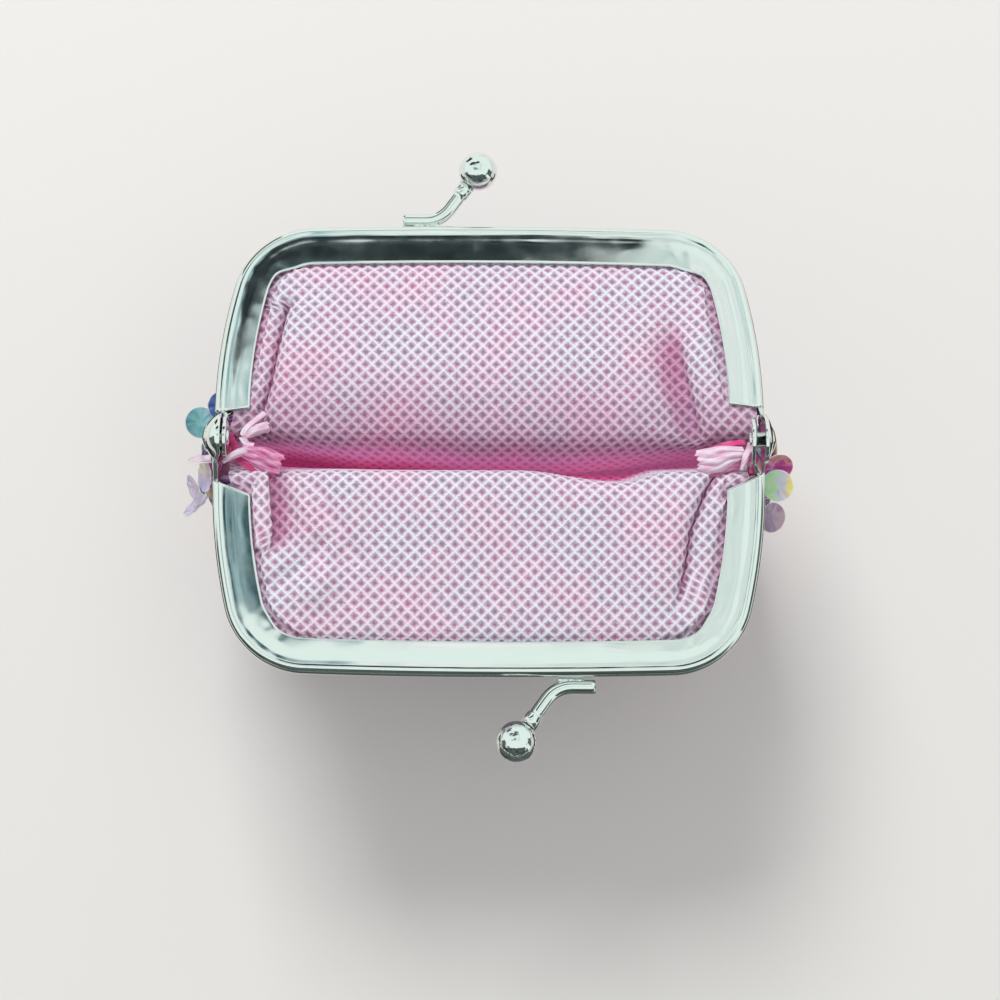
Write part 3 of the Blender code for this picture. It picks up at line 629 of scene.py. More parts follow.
def lining_material():
    """Spunbond polypropylene: a fuzzy pale web round steep pits, each with a darker melted spot.

    Painted shade makes it pinker and darker in its fold valleys and deep in the pouch, and there a
    painted pink glow stands for light come through the pink cloth behind.
    """
    material, tree, shader = new_material("pink_spunbond_polypropylene", {
        "Roughness": 0.55, "Sheen Weight": 0.15, "Sheen Roughness": 0.5, "Specular IOR Level": 0.35,
    })
    lay = node(tree, "UVMap", {}, uv_map="cloth")
    turned = node(tree, "Mapping", {
        "Vector": lay, "Rotation": (0, 0, math.radians(45)),
        "Scale": (100 * math.sqrt(2) / NET_PITCH,) * 3,
    })
    fuzz, blotch, speck = (
        node(tree, "TexNoise", {"Vector": lay, "Scale": scale, "Detail": detail})
        for scale, detail in ((240.0, 4.0), (8.0, 3.0), (52.0, 1.0))
    )
    half = (0.5, 0.5, 0.5)
    wobble = node(tree, "VectorMath", {0: fuzz.outputs["Color"], 1: half}, operation="SUBTRACT")
    wobbly = node(tree, "VectorMath", {
        0: wobble, 1: (0.42, 0.42, 0.0), 2: turned,
    }, operation="MULTIPLY_ADD")
    cell = node(tree, "VectorMath", {0: wobbly, 1: half, 2: (-0.5, -0.5, -0.5)}, operation="WRAP")
    away = node(tree, "VectorMath", {0: cell}, operation="ABSOLUTE")
    parts = node(tree, "SeparateXYZ", {0: away})
    edge = node(tree, "Math", {0: parts, 1: parts.outputs[1], 2: 0.12}, operation="SMOOTH_MAX")
    web, wall, spot = (
        node(tree, "MapRange", {
            "Value": edge, "From Min": low, "From Max": high, "To Min": at_low, "To Max": at_high,
        }, interpolation_type="SMOOTHSTEP")
        for low, high, at_low, at_high in (
            (0.26, 0.5, 0.0, 1.0), (0.18, 0.49, 0.0, 1.0), (0.1, 0.31, 0.85, 0.0),
        )
    )
    speck_share, blotch_share = (
        node(tree, "MapRange", {"Value": spots, "From Min": low, "From Max": 0.66})
        for spots, low in ((speck, 0.45), (blotch, 0.4))
    )
    pit_tone, spot_tone, web_tone = (
        node(tree, "Mix", {0: share, 6: colour(low), 7: colour(high)}, data_type="RGBA")
        for share, low, high in (
            (blotch_share, "C9B9CD", "DAAFCA"), (speck_share, "837088", "A55F80"),
            (blotch_share, "E7E7F1", "EFDDEB"),
        )
    )
    cloth = node(tree, "Mix", {0: web, 6: pit_tone, 7: web_tone}, data_type="RGBA")
    dotted = node(tree, "Mix", {0: spot, 6: cloth, 7: spot_tone}, data_type="RGBA")
    # painted shade and glow: this attribute multiplies the cloth toward hot pink in fold valleys and deep
    # in the pouch, and past 0.4 it drives a painted pink glow
    painted_shade_and_glow = node(tree, "Attribute", {}, attribute_name="painted_shade_and_glow").outputs["Fac"]
    tone_ramp = node(tree, "ValToRGB", {"Fac": painted_shade_and_glow})
    stops = tone_ramp.color_ramp.elements
    stops[0].color = colour("FFFFFF")
    stops[1].color = colour("E873A9")
    stops.new(0.45).color = colour("DCB0C7")
    deep = node(tree, "Mix", {0: 1.0, 6: dotted, 7: tone_ramp}, data_type="RGBA", blend_type="MULTIPLY")
    painted_glow = node(tree, "MapRange", {
        "Value": painted_shade_and_glow, "From Min": 0.4, "From Max": 0.8, "To Max": 0.32,
    }, interpolation_type="SMOOTHSTEP")
    depth = node(tree, "MapRange", {"Value": painted_shade_and_glow, "From Min": 0.8})
    glow_tone = node(tree, "Mix", {
        0: depth, 6: colour("C877AE"), 7: colour("AC477C"),
    }, data_type="RGBA")
    relief = node(tree, "Math", {0: fuzz, 1: 0.4, 2: wall}, operation="MULTIPLY_ADD")
    raised = node(tree, "Bump", {"Height": relief, "Strength": 0.8, "Distance": 0.2 * MM})
    feed(tree, shader, {
        "Base Color": deep, "Emission Strength": painted_glow, "Emission Color": glow_tone, "Normal": raised,
    })
    return material


spunbond = lining_material()

LEG_ENDS = {
    # half and hand: where that leg ends, at its back and at the flange's inner edge
    (1, -1): (4.3, 5.0), (1, 1): (5.5, 6.1),
    (-1, -1): (6.4, 8.8), (-1, 1): (4.8, 7.6),
}


def leg_end(side, x, s):
    """Distance from the hinge at which the leg's slanted end starts, at a place under it."""
    inset = half_width_at(max(s, 0), 0) - abs(x)
    return mix(*LEG_ENDS[side, -1 if x < 0 else 1], clamp(inset / OUTER_FLANGE_DEPTH))


for prefix, side in HALVES.items():
    sections = {}
    outside = set()
    painted_shade_and_glow = {}

    def lining_place(column, row):
        arc, v = lining_lay(column, row)
        if row not in sections:
            out, drop, closing = along_path(lining_path(side, 0), min(v, LINING_FINE_LENGTH))
            s = out * math.cos(OPEN_DROP) + drop * math.sin(OPEN_DROP)
            level = (drop - out * math.tan(OPEN_DROP)) * math.cos(OPEN_DROP)
            sections[row] = s, lining_section(side, s, min(level, HEM_LEVEL))
        s, halves = sections[row]
        x, dip = along_path(halves[-1 if arc < 0 else 1], abs(arc))
        pouch_x = arc * LINING_HALF_WIDTH / LINING_HALF_CLOTH
        path = lining_path(side, round(pouch_x))
        v = down_lining(row, path[1][-1])
        out, drop, closing = along_path(path, v)
        out += (bar_height(x, CLOTH_EDGE) - bar_height(0, CLOTH_EDGE)) * (1 - smooth(0, 25, v))
        s = out * math.cos(OPEN_DROP) + drop * math.sin(OPEN_DROP)
        in_frame = closing < 0.05 and s > leg_end(side, x, s) + 0.4
        if in_frame and abs(x) > half_width_at(s, CLOTH_EDGE) + 0.1:
            outside.add((column, row))
        below = smooth(0.0, 0.7, closing)
        soft = 0.25 * noise.noise(Vector((x / 9, s / 9, side * 4.0))) - soft_form(side, x, s)
        over_bar = 1 - smooth(26, 29, s)
        hem = 1 - smooth(-3.2, -1.0, abs(x) - half_width_at(max(s, 5), 4.4))
        drop += (dip + soft * hem * over_bar) * (1 - below)
        # painted shade: fold valleys are painted pinker and darker by their dip
        crease_shade = 0.45 * smooth(0.2, 1.8, dip) * (1 - below)
        # painted shade and glow: from here down the lining is painted darker and pinker, and deeper still
        # it glows, for light come through pink cloth
        if side > 0:
            pouch_shade_and_glow = smooth(18, 34, v) * 0.32 + smooth(31, 41, v) * 0.68
            pouch_shade_and_glow *= mix(1.0, 0.8, smooth(-16, 0, x))
        else:
            pouch_shade_and_glow = smooth(32.5, 36.5, v)
        painted_shade_and_glow[column, row] = max(crease_shade, pouch_shade_and_glow)
        x = mix(x, pouch_x, below) * (1 + 0.1 * smooth(8, 30, drop))
        bulge = math.sqrt(max(1 - (pouch_x / (LINING_HALF_WIDTH + 0.3)) ** 2, 0))
        y = mix(out, 0.35 + (out - 0.35) * bulge, closing)
        end = smooth(0.5, 1, abs(pouch_x) / LINING_HALF_WIDTH)
        return x, side * y, HINGE_Z - drop + LINING_END_LIFT * smooth(40, 55, drop) * end

    bm = grid_mesh(LINING_COLUMNS, LINING_FINE_ROWS + LINING_COARSE_ROWS, lining_place, lining_lay)
    if side > 0:
        bmesh.ops.reverse_faces(bm, faces=bm.faces)
    bm.normal_update()
    tint = bm.verts.layers.float.new("painted_shade_and_glow")
    trimmed = []
    for index, vert in enumerate(bm.verts):
        row, column = divmod(index, LINING_COLUMNS + 1)
        u, v = lining_lay(column, row)
        vert[tint] = painted_shade_and_glow[column, row]
        if (column, row) in outside:
            trimmed.append(vert)
        uneven = 1 + 0.35 * noise.noise(Vector((u * 1.3, v * 1.3, side * 5.0)))
        vert.co -= vert.normal * net_pit(u, v) * NET_DEPTH * uneven * MM * (1 - smooth(38, 44, v))
    bmesh.ops.delete(bm, geom=trimmed, context="VERTS")
    lining = piece_from(bm, prefix + "_lining", spunbond)
    solidify(lining, LINING_THICKNESS)
    blend_over_hinge(lining)
    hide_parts(prefix + "_pouch_lining", prefix + "_mouth_lining")

# Ends of the side seams. Beside each hinge the seam allowance of cloth and lining is folded into
# the mouth in loose pleats. The cut edge frays a little. The pleats are painted a hotter pink than
# the lining's face, as painted light come through the cloth, and their pale edges carry a painted
# highlight.
TUFT_COLUMNS = 64
TUFT_ROWS = 36
TUFT_THICKNESS = 0.14


def pleat(name, spine, width, lean, folds, depth, material, fray, seed):
    """A strip of cloth along a curved spine, gathered in rounded folds, with a ragged end."""
    def place(column, row):
        along = column / TUFT_COLUMNS
        across = row / TUFT_ROWS - 0.5
        here = Vector(spline(spine, along))
        ahead = Vector(spline(spine, min(along + 0.02, 1)))
        ahead = (ahead - Vector(spline(spine, max(along - 0.02, 0)))).normalized()
        wide = Vector((0, math.cos(lean), math.sin(lean)))
        wide = (wide - ahead * wide.dot(ahead)).normalized()
        out = ahead.cross(wide)
        if out.z < 0:
            out.negate()
        reach = width * mix(0.5, 1.0, smooth(0, 0.6, along))
        drift = 0.22 * noise.noise(Vector((along * 2.5, seed, across * 2)))
        fold = abs(math.sin((across + 0.5 + drift) * math.pi * folds))
        slump = 0.45 * noise.noise(Vector((along * 6, across * 6, seed * 2.7)))
        curl = depth * 1.2 * math.cos(across * math.pi)
        rag = noise.noise(Vector((across * 16, seed * 3.1, 0))) * fray * along ** 4
        height = depth * (fold + slump) + curl
        return here + wide * across * reach + out * height + ahead * rag

    def lay(column, row):
        return column * 0.12, row / TUFT_ROWS * width * 1.3

    bm = grid_mesh(TUFT_COLUMNS, TUFT_ROWS, place, lay)
    bmesh.ops.recalc_face_normals(bm, faces=bm.faces)
    piece = piece_from(bm, name, material)
    solidify(piece, TUFT_THICKNESS)
    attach(piece, "pouch")
    return piece


def allowance_material(name, low, middle, high):
    """Spunbond cloth seen from its back, painted for how light falls: saturated pinks are painted light
    come through it, and its pale tones painted light on its folds.

    Its drawn fibres run along the strip, 0.5 mm apart.
    """
    material, tree, shader = new_material(name, {
        "Roughness": 0.5, "Sheen Weight": 0.3, "Subsurface Weight": 0.35, "Subsurface Scale": 0.0012,
    })
    lay = node(tree, "UVMap", {}, uv_map="cloth")
    drawn = node(tree, "Mapping", {"Vector": lay, "Scale": (40.0, 200.0, 1.0)})
    fibres = node(tree, "TexNoise", {"Vector": drawn, "Scale": 1.0, "Detail": 3.0})
    tone_ramp = node(tree, "ValToRGB", {"Fac": fibres})
    stops = tone_ramp.color_ramp.elements
    stops[0].position, stops[0].color = 0.28, colour(low)
    stops[1].position, stops[1].color = 0.72, colour(high)
    stops.new(0.5).color = colour(middle)
    raised = node(tree, "Bump", {"Height": fibres, "Strength": 0.6, "Distance": 0.15 * MM})
    feed(tree, shader, {"Base Color": tone_ramp, "Normal": raised})
    return material


# Copies of one cloth painted for how light falls on it: the hot pink is painted light come through the
# cloth, the middle pink sits between, and the pale cut edge also carries a painted highlight.
lit_through = allowance_material("seam_allowance_lit_through", "D22B76", "E8468F", "F36DAC")
in_folds = allowance_material("seam_allowance_in_folds", "C2568F", "DA85B0", "F2C4DC")
pale_edge_and_highlight = allowance_material("frayed_cut_edge_with_painted_highlight", "E6A9C8", "F1C9DC", "FAEAF0")
SEAM_TUFTS = {
    # name, spine in mm, width, lean, number of folds, their depth, material and how ragged it is
    "left_seam_end": [
        ("depth", [(-41.3, 1.6, 55.6), (-40.4, 0.6, 54.6), (-39.6, -1.0, 54.4), (-38.9, -2.4, 54.8)],
         3.2, 0.9, 2, 0.2, lit_through, 0.2),
        ("roll", [(-34.9, 4.2, 57.0), (-36.1, 3.0, 57.2), (-37.4, 1.6, 57.3), (-38.0, 0.3, 57.2),
                  (-37.5, -0.9, 57.0), (-36.4, -1.2, 56.9)],
         1.3, 0.3, 1, 0.32, pale_edge_and_highlight, 0.1),
        ("lip", [(-37.9, 0.3, 57.2), (-36.8, 0.9, 57.5), (-35.6, 1.5, 57.5), (-34.2, 2.0, 57.2)],
         1.9, 0.7, 1, 0.25, pale_edge_and_highlight, 0.3),
        ("knot", [(-41.0, -3.7, 57.3), (-39.9, -3.0, 57.6), (-38.5, -2.2, 57.5), (-37.0, -1.7, 57.2)],
         1.3, 0.6, 1, 0.25, pale_edge_and_highlight, 0.4),
        ("pleats", [(-38.2, -1.8, 57.0), (-36.2, -2.6, 57.1), (-34.2, -3.4, 56.7), (-32.3, -4.1, 56.1)],
         3.8, 0.4, 3, 0.34, in_folds, 0.7),
        ("under", [(-38.2, -3.2, 55.6), (-36.6, -4.0, 55.8), (-34.8, -4.6, 55.6), (-33.4, -5.2, 55.2)],
         2.4, 0.9, 2, 0.3, lit_through, 0.6),
    ],
    "right_seam_end": [
        ("band", [(39.4, 0.0, 57.2), (37.4, -0.4, 57.5), (35.4, -1.0, 57.4), (33.2, -1.9, 57.0)],
         1.3, 0.9, 1, 0.25, lit_through, 0.6),
        ("pleats", [(39.2, -1.9, 57.4), (37.0, -2.4, 57.7), (34.7, -3.0, 57.4), (32.4, -3.3, 56.8)],
         3.8, 0.35, 3, 0.4, pale_edge_and_highlight, 0.6),
        ("under", [(39.4, -3.2, 56.2), (37.6, -3.6, 56.5), (35.6, -4.2, 56.3), (34.0, -4.6, 55.8)],
         2.4, 0.9, 2, 0.25, in_folds, 0.5),
        ("corner", [(41.2, -2.2, 56.8), (41.0, -3.0, 56.6), (40.7, -3.8, 56.5), (40.3, -4.7, 56.3)],
         1.5, 1.0, 1, 0.2, lit_through, 0.2),
        ("peak", [(38.9, -4.6, 57.6), (39.4, -3.2, 58.1), (39.8, -1.8, 58.3), (40.1, -0.6, 58.0)],
         1.3, 0.3, 1, 0.3, pale_edge_and_highlight, 0.2),
    ],
}
for seam_end, strips in SEAM_TUFTS.items():
    for index, (name, *form) in enumerate(strips):
        piece = pleat(seam_end.replace("end", name), *form, index + 1)
        if index == 0:
            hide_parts(seam_end)

# Loose sequins beyond the hinges, sewn to the pouch's shoulders, where the mouth pulls the cloth
# up and turns them: some lie flat and show their shifting colour, some stand on edge like glass.
LOOSE_SIDES = 48
LOOSE_RINGS = (0, 0.25, 0.5, 0.72, 0.88, 0.955, 1.0)


def loose_sequin(name, x, y, z, lean_x, lean_y, sweep_way, cup, film_colour, seed):
    """One disc at its place, cupped, and crinkled along a few lines through its middle.

    The attribute "sweep" runs from 0 to 1 across it, and "rim" is 1 on its cut edge.
    """
    lean_x, lean_y, sweep_way = map(math.radians, (lean_x, lean_y, sweep_way))
    stand = Matrix.Rotation(lean_y, 3, "Y") @ Matrix.Rotation(lean_x, 3, "X")
    way = Vector((math.cos(sweep_way), math.sin(sweep_way), 0))
    middle = Vector((x, y, z))

    def place(column, row):
        turn = 2 * math.pi * column / LOOSE_SIDES
        share = LOOSE_RINGS[row]
        crinkle = 0.06 * noise.noise(Vector((math.cos(turn) * 2.6, math.sin(turn) * 2.6, seed)))
        crinkle += 0.03 * abs(math.sin(2.5 * turn + seed)) + 0.012 * math.sin(9 * turn + seed)
        height = cup * (share ** 2 - 0.5) + crinkle * share * SEQUIN_RADIUS
        flat = Vector((math.cos(turn), math.sin(turn), 0)) * share * SEQUIN_RADIUS
        return stand @ (flat + Vector((0, 0, height))) + middle

    bm = grid_mesh(LOOSE_SIDES, len(LOOSE_RINGS) - 1, place)
    bmesh.ops.remove_doubles(bm, verts=bm.verts, dist=1e-6)
    sweep = bm.verts.layers.float.new("sweep")
    rim = bm.verts.layers.float.new("rim")
    for vert in bm.verts:
        flat = stand.transposed() @ (vert.co / MM - middle)
        vert[sweep] = 0.5 + 0.5 * flat.dot(way) / SEQUIN_RADIUS
        vert[rim] = smooth(0.96, 1.0, flat.xy.length / SEQUIN_RADIUS)
    piece = piece_from(bm, name.replace("sequin", "loose_sequin"), film_colour)
    solidify(piece, SEQUIN_FILM)
    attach(piece, "pouch")
    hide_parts(name)


def pearl_film(name, hexes, clear_share, thickness):
    """One sequin's film: its hexes run across the disc, its coating's tints with a painted reflection of
    its shifting colour, and its rim is painted near white as a painted highlight.
    """
    material, tree, shader = new_material(name, {
        "Roughness": 0.14, "IOR": 1.64, "Coat Weight": 0.7, "Coat Roughness": 0.05,
        "Thin Film Thickness": thickness, "Thin Film IOR": 1.9,
    })
    where = node(tree, "TexCoord", {}).outputs["Object"]
    cloud = node(tree, "TexNoise", {"Vector": where, "Scale": 700.0, "Detail": 2.0, "Distortion": 0.6})
    sweep, rim = (
        node(tree, "Attribute", {}, attribute_name=name).outputs["Fac"] for name in ("sweep", "rim")
    )
    bands = node(tree, "Mix", {0: 0.4, 2: sweep, 3: cloud})
    ramp = node(tree, "ValToRGB", {"Fac": bands})
    stops = ramp.color_ramp.elements
    stops[0].position, stops[0].color = 0.25, colour(hexes[0])
    stops[1].position, stops[1].color = 0.75, colour(hexes[-1])
    for index, middle in enumerate(hexes[1:-1], 1):
        stops.new(0.25 + 0.5 * index / (len(hexes) - 1)).color = colour(middle)
    # painted highlight: the cut rim is painted near white
    edged = node(tree, "Mix", {0: rim, 6: ramp, 7: colour("FBF8FF")}, data_type="RGBA")
    feed(tree, shader, {"Base Color": edged})
    turned = node(tree, "LayerWeight", {"Blend": 0.3})
    share = node(tree, "MapRange", {
        "Value": turned.outputs["Facing"], "To Min": 1 - clear_share, "To Max": 1.0,
    })
    solid_share = node(tree, "Math", {0: share, 1: rim}, operation="MAXIMUM")
    see_through(tree, shader, "F4EAF6", solid_share)
    return material


LOOSE_SEQUINS = [
    # name, place, lean about x and y, way its colours run, cup, colours, how clear it is
    ("left_sequin_1", -45.5, 4.3, 50.9, 14, 8, 30, 0.3, ("2C7F96", "3FA3AE", "6FC4CE", "8FB7D0"), 0.05),
    ("left_sequin_2", -41.9, 6.8, 52.0, 25, 10, 60, 0.3, ("2F69B0", "4E86CC", "6AB0DE"), 0.05),
    ("left_sequin_3", -44.6, -2.2, 52.0, -60, -8, 0, 0.35, ("EBD9E6", "F6EEF6"), 0.45),
    ("left_sequin_4", -44.4, -4.2, 49.9, 8, -60, 90, 0.5, ("CFD9F6", "E6E3F8", "F7F3D2"), 0.1),
    ("left_sequin_5", -46.4, -5.4, 46.6, 25, -68, 0, 0.5, ("DAD8EC", "F6F4FB"), 0.9),
    ("left_sequin_6", -46.6, -7.6, 43.4, -35, -50, 0, 0.4, ("C9C2DE", "F0ECF8"), 0.6),
    ("right_sequin_1", 45.6, -1.9, 48.6, 38, 20, 90, 0.6, ("6E5C92", "B8379A", "CF57A0", "EDB29E"), 0.05),
    ("right_sequin_2", 45.2, -5.5, 51.2, 12, -4, 0, 0.3, ("7FE3B0", "B5EFA2", "C9C7E6", "E9DC6E"), 0.05),
    ("right_sequin_3", 46.0, -7.3, 36.6, 20, 30, 0, 0.3, ("9C8CA8", "B9A9C4", "C79AB0"), 0.15),
]
for index, (name, *lie, hexes, clear_share) in enumerate(LOOSE_SEQUINS):
    loose_film = pearl_film("pearl_film_" + name, hexes, clear_share, 380.0 + 30 * index)
    loose_sequin(name, *lie, loose_film, index)

# Frame halves. Each is one stamping of thin steel, folded into a channel round the mouth's edge,
# pinched shut on the cloth, then polished and nickel plated. At each end of the U a round lug
# carries the hinge: a cupped one on one side and a flat one, set inside it, on the other.
FRAME_SHEET = 0.5
FRAME_FACE = 0.15
FRAME_THICKNESS = 3.8
FRAME_BACK_CURVE = 1.25
FREE_EDGE_ROUND = 0.22
FLANGE_WAVE = 0.05
FLANGE_CRINKLE = 0.035
FLANGE_DENT = 0.07
FLANGE_ROLL = 0.16        # how much lower the inner flange lies at the fold than at its edge
FRAME_STATIONS = 280
DISHES = {
    # hand: how far out its sphere's centre lies, its radius, and the step from its rim to the leg
    -1: (40.05, 4.05, 0.9),
    1: (36.6, 7.3, -0.3),
}
LUG_SHEET = 0.6
LUG_HOLE = 1.5
LUG_RADII = {"flat": 3.5, "dished": 3.7}
LUG_TIP_RADIUS = 1.0
LUG_EDGE_ROUND = 0.13
LUG_COLUMNS = 72
FLAT_LUG_X = (40.9, 42.5)        # beside the rivet, and where it runs into its leg
BAR_SHARE = 0.3
LEG_SHARE = 0.3
LEG_TANGENT = math.atan2(CORNER.y - LEG_WIDEST_AT, CORNER.x - HALF_WIDTH + LEG_RADIUS)
BAR_TANGENT = math.atan2(CORNER.y - HALF_HEIGHT + BAR_RADIUS, CORNER.x)
INNER_FLANGE_DEPTHS = {"back": (5.5, 6.8), "front": (6.0, 5.4)}        # on the legs and the bar


def frame_section():
    """Closed section of the channel: share of the depth, fixed inset, and n; edge first."""
    low, high = FRAME_FACE, FRAME_FACE + FRAME_THICKNESS
    bend = FRAME_BACK_CURVE - FRAME_SHEET

    def free_edge(share, middle, power):
        """Round the end of a flange's sheet, nearly square where the power is low."""
        for turn in (math.pi * k / 6 for k in range(7)):
            inset = FREE_EDGE_ROUND * (max(math.sin(turn), 0) ** power - 1)
            yield share, inset, middle + FRAME_SHEET / 2 * math.cos(turn)

    def corner(inset, radius, level, way, steps):
        """Round a corner of the fold, from a flange's level toward the middle of the back."""
        for turn in (math.pi / 2 * k / steps for k in range(steps + 1)):
            yield 0, inset + radius * (1 - math.sin(turn)), level + way * radius * (1 - math.cos(turn))

    section = [*free_edge(1.0, low + FRAME_SHEET / 2, 0.35)]
    for share in (k / 22 for k in range(21, 0, -1)):
        section.append((share, FRAME_BACK_CURVE * (1 - share) - FREE_EDGE_ROUND * share, low))
    section += corner(0, FRAME_BACK_CURVE, low, 1, 9)
    section += reversed([*corner(0, FRAME_BACK_CURVE, high, -1, 9)])
    section += [(-k / 8, FRAME_BACK_CURVE * (1 - k / 8), high) for k in range(1, 8)]
    section += free_edge(-1, high - FRAME_SHEET / 2, 1)
    section.append((-0.5, FRAME_BACK_CURVE / 2, high - FRAME_SHEET))
    section += corner(FRAME_SHEET, bend, high - FRAME_SHEET, -1, 3)
    section += reversed([*corner(FRAME_SHEET, bend, low + FRAME_SHEET, 1, 3)])
    section.append((0.5, FRAME_BACK_CURVE / 2, low + FRAME_SHEET))
    return section + section[:1]


SECTION = frame_section()


def outline_station(station, inset, ends):
    """x, s and the outline's inward direction at a station from the left leg to the right."""
    place = 2 * station / FRAME_STATIONS - 1
    hand = -1 if place < 0 else 1
    place = abs(place)
    if place < BAR_SHARE:
        turn = mix(math.pi / 2, BAR_TANGENT, place / BAR_SHARE)
        centre, radius = Vector((0, HALF_HEIGHT - BAR_RADIUS)), BAR_RADIUS
    elif place < 1 - LEG_SHARE:
        turn = mix(BAR_TANGENT, LEG_TANGENT, (place - BAR_SHARE) / (1 - LEG_SHARE - BAR_SHARE))
        centre, radius = CORNER, CORNER_RADIUS
    else:
        end_s = mix(*ends[hand], clamp(inset / OUTER_FLANGE_DEPTH))
        end = math.asin((end_s - LEG_WIDEST_AT) / (LEG_RADIUS - inset))
        turn = mix(LEG_TANGENT, end, (place - 1 + LEG_SHARE) / LEG_SHARE)
        centre, radius = Vector((HALF_WIDTH - LEG_RADIUS, LEG_WIDEST_AT)), LEG_RADIUS
    out = Vector((math.cos(turn), math.sin(turn)))
    point = centre + out * (radius - inset)
    return Vector((hand * point.x, point.y)), Vector((-hand * out.x, -out.y))


def hinge_lug(prefix, side, hand, kind):
    """A hinge lug: a round plate with the rivet's hole that runs into the back of its leg."""
    lug_radius = LUG_RADII[kind]
    tip_s = LEG_ENDS[side, hand][0] + 1.0
    middle_n = FRAME_FACE + FRAME_THICKNESS / 2 + 0.1
    reach = Vector((tip_s, middle_n))

    def rim_radius(turn):
        """Distance from the hinge to the rim of the teardrop round the lug and the leg's back.

        Past the round of the lug it keeps to its own side, clear of the other half when shut.
        """
        way = Vector((math.cos(turn), math.sin(turn)))
        best = lug_radius
        for share in (k / 24 for k in range(25)):
            centre = reach * share
            radius = mix(lug_radius, LUG_TIP_RADIUS, share)
            along = way.dot(centre)
            room = radius ** 2 - (centre.length_squared - along ** 2)
            if room >= 0:
                best = max(best, along + math.sqrt(room))
        while best > lug_radius and way.y * best < mix(-4.0, 0.25, smooth(3.2, 4.2, way.x * best)):
            best -= 0.02
        return best

    def face_x(s, n):
        if kind == "dished":
            middle, radius, step = DISHES[hand]
            away = min(math.hypot(s, n), lug_radius)
            x = middle + math.sqrt(radius ** 2 - away ** 2) + step * smooth(2.6, 4.4, s)
        else:
            x = mix(*FLAT_LUG_X, smooth(3.2, tip_s, s))
        wrap = smooth(tip_s - 1.2, tip_s, s)
        corner = max(abs(n - middle_n) - (FRAME_THICKNESS / 2 - FRAME_BACK_CURVE), 0)
        sagitta = FRAME_BACK_CURVE - math.sqrt(max(FRAME_BACK_CURVE ** 2 - corner ** 2, 0))
        return x - wrap * (0.06 + sagitta)

    shares = [0, 0.02, 0.12, 0.25, 0.4, 0.55, 0.7, 0.82, 0.92, 0.98, 1.0]
    profile = [(share, 0) for share in shares] + [(share, 1) for share in reversed(shares)] + [(0, 0)]

    def place(column, row):
        turn = 2 * math.pi * column / LUG_COLUMNS
        share, back = profile[row]
        radius = mix(LUG_HOLE, rim_radius(turn), share)
        edge = LUG_EDGE_ROUND if share in (0, 1) else 0
        s, n = radius * math.cos(turn), radius * math.sin(turn)
        x = face_x(s, n) + (edge - LUG_SHEET if back else -edge)
        return on_half(side, hand * x, s, n)

    bm = grid_mesh(LUG_COLUMNS, len(profile) - 1, place)
    weld(bm, 1e-6)
    lug = piece_from(bm, prefix + "_" + kind + "_lug", plated_steel)
    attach(lug, prefix + "_frame")


def plated_steel_material():
    """Bright nickel on polished steel: a clear mirror with fine wiping marks and small dull spots."""
    material, tree, shader = new_material("nickel_plated_polished_steel", {
        "Metallic": 1.0, "Base Color": colour("EAEFEC"), "Roughness": 0.09,
    })
    where = node(tree, "TexCoord", {}).outputs["Object"]
    haze = node(tree, "TexNoise", {"Vector": where, "Scale": 240.0, "Detail": 3.0})
    dull = node(tree, "MapRange", {
        "Value": haze, "From Min": 0.35, "From Max": 0.75, "To Min": 0.06, "To Max": 0.17,
    })
    waves = node(tree, "TexNoise", {"Vector": where, "Scale": 150.0, "Detail": 1.0})
    relief = node(tree, "Bump", {"Height": waves, "Strength": 0.12, "Distance": 0.25 * MM})
    feed(tree, shader, {"Roughness": dull, "Normal": relief})
    return material


plated_steel = plated_steel_material()

for prefix, side in HALVES.items():
    def frame_place(station, row):
        share, fixed, n = SECTION[row]
        ends = {hand: LEG_ENDS[side, hand] for hand in (-1, 1)}
        middle, inward = outline_station(station, 0, ends)
        depth = mix(*INNER_FLANGE_DEPTHS[prefix], smooth(0.55, 0.92, abs(inward.y)))
        if share < 0:
            depth = OUTER_FLANGE_DEPTH
            ends = {hand: (at_back, at_edge + 2.0) for hand, (at_back, at_edge) in ends.items()}
        inset = abs(share) * depth + fixed
        point, inward = outline_station(station, inset, ends)
        if share > 0 and n <= FRAME_FACE + FRAME_SHEET:
            wave = noise.noise(Vector((point.x / 6, point.y / 6, side * 3.0)))
            crinkle = noise.noise(Vector((point.x / 2.1, point.y / 2.1, side * 7.0)))
            at_corner = 1 - abs(abs(inward.x) - abs(inward.y))
            n += FLANGE_WAVE * wave + FLANGE_CRINKLE * crinkle * at_corner
            n += FLANGE_DENT * bump(inset, 2.2, 0.8)
            n += FLANGE_ROLL * math.cos(math.pi * min(inset / depth, 1) / 2) ** 2
        return on_half(side, point.x, point.y, n)

    bm = grid_mesh(FRAME_STATIONS, len(SECTION) - 1, frame_place)
    bmesh.ops.remove_doubles(bm, verts=bm.verts, dist=1e-7)
    bmesh.ops.holes_fill(bm, edges=[e for e in bm.edges if e.is_boundary], sides=0)
    bmesh.ops.recalc_face_normals(bm, faces=bm.faces)
    channel = piece_from(bm, prefix + "_channel", plated_steel)
    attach(channel, prefix + "_frame")
    hinge_lug(prefix, side, side, "dished")
    hinge_lug(prefix, side, -side, "flat")
    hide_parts(prefix + "_frame_half")

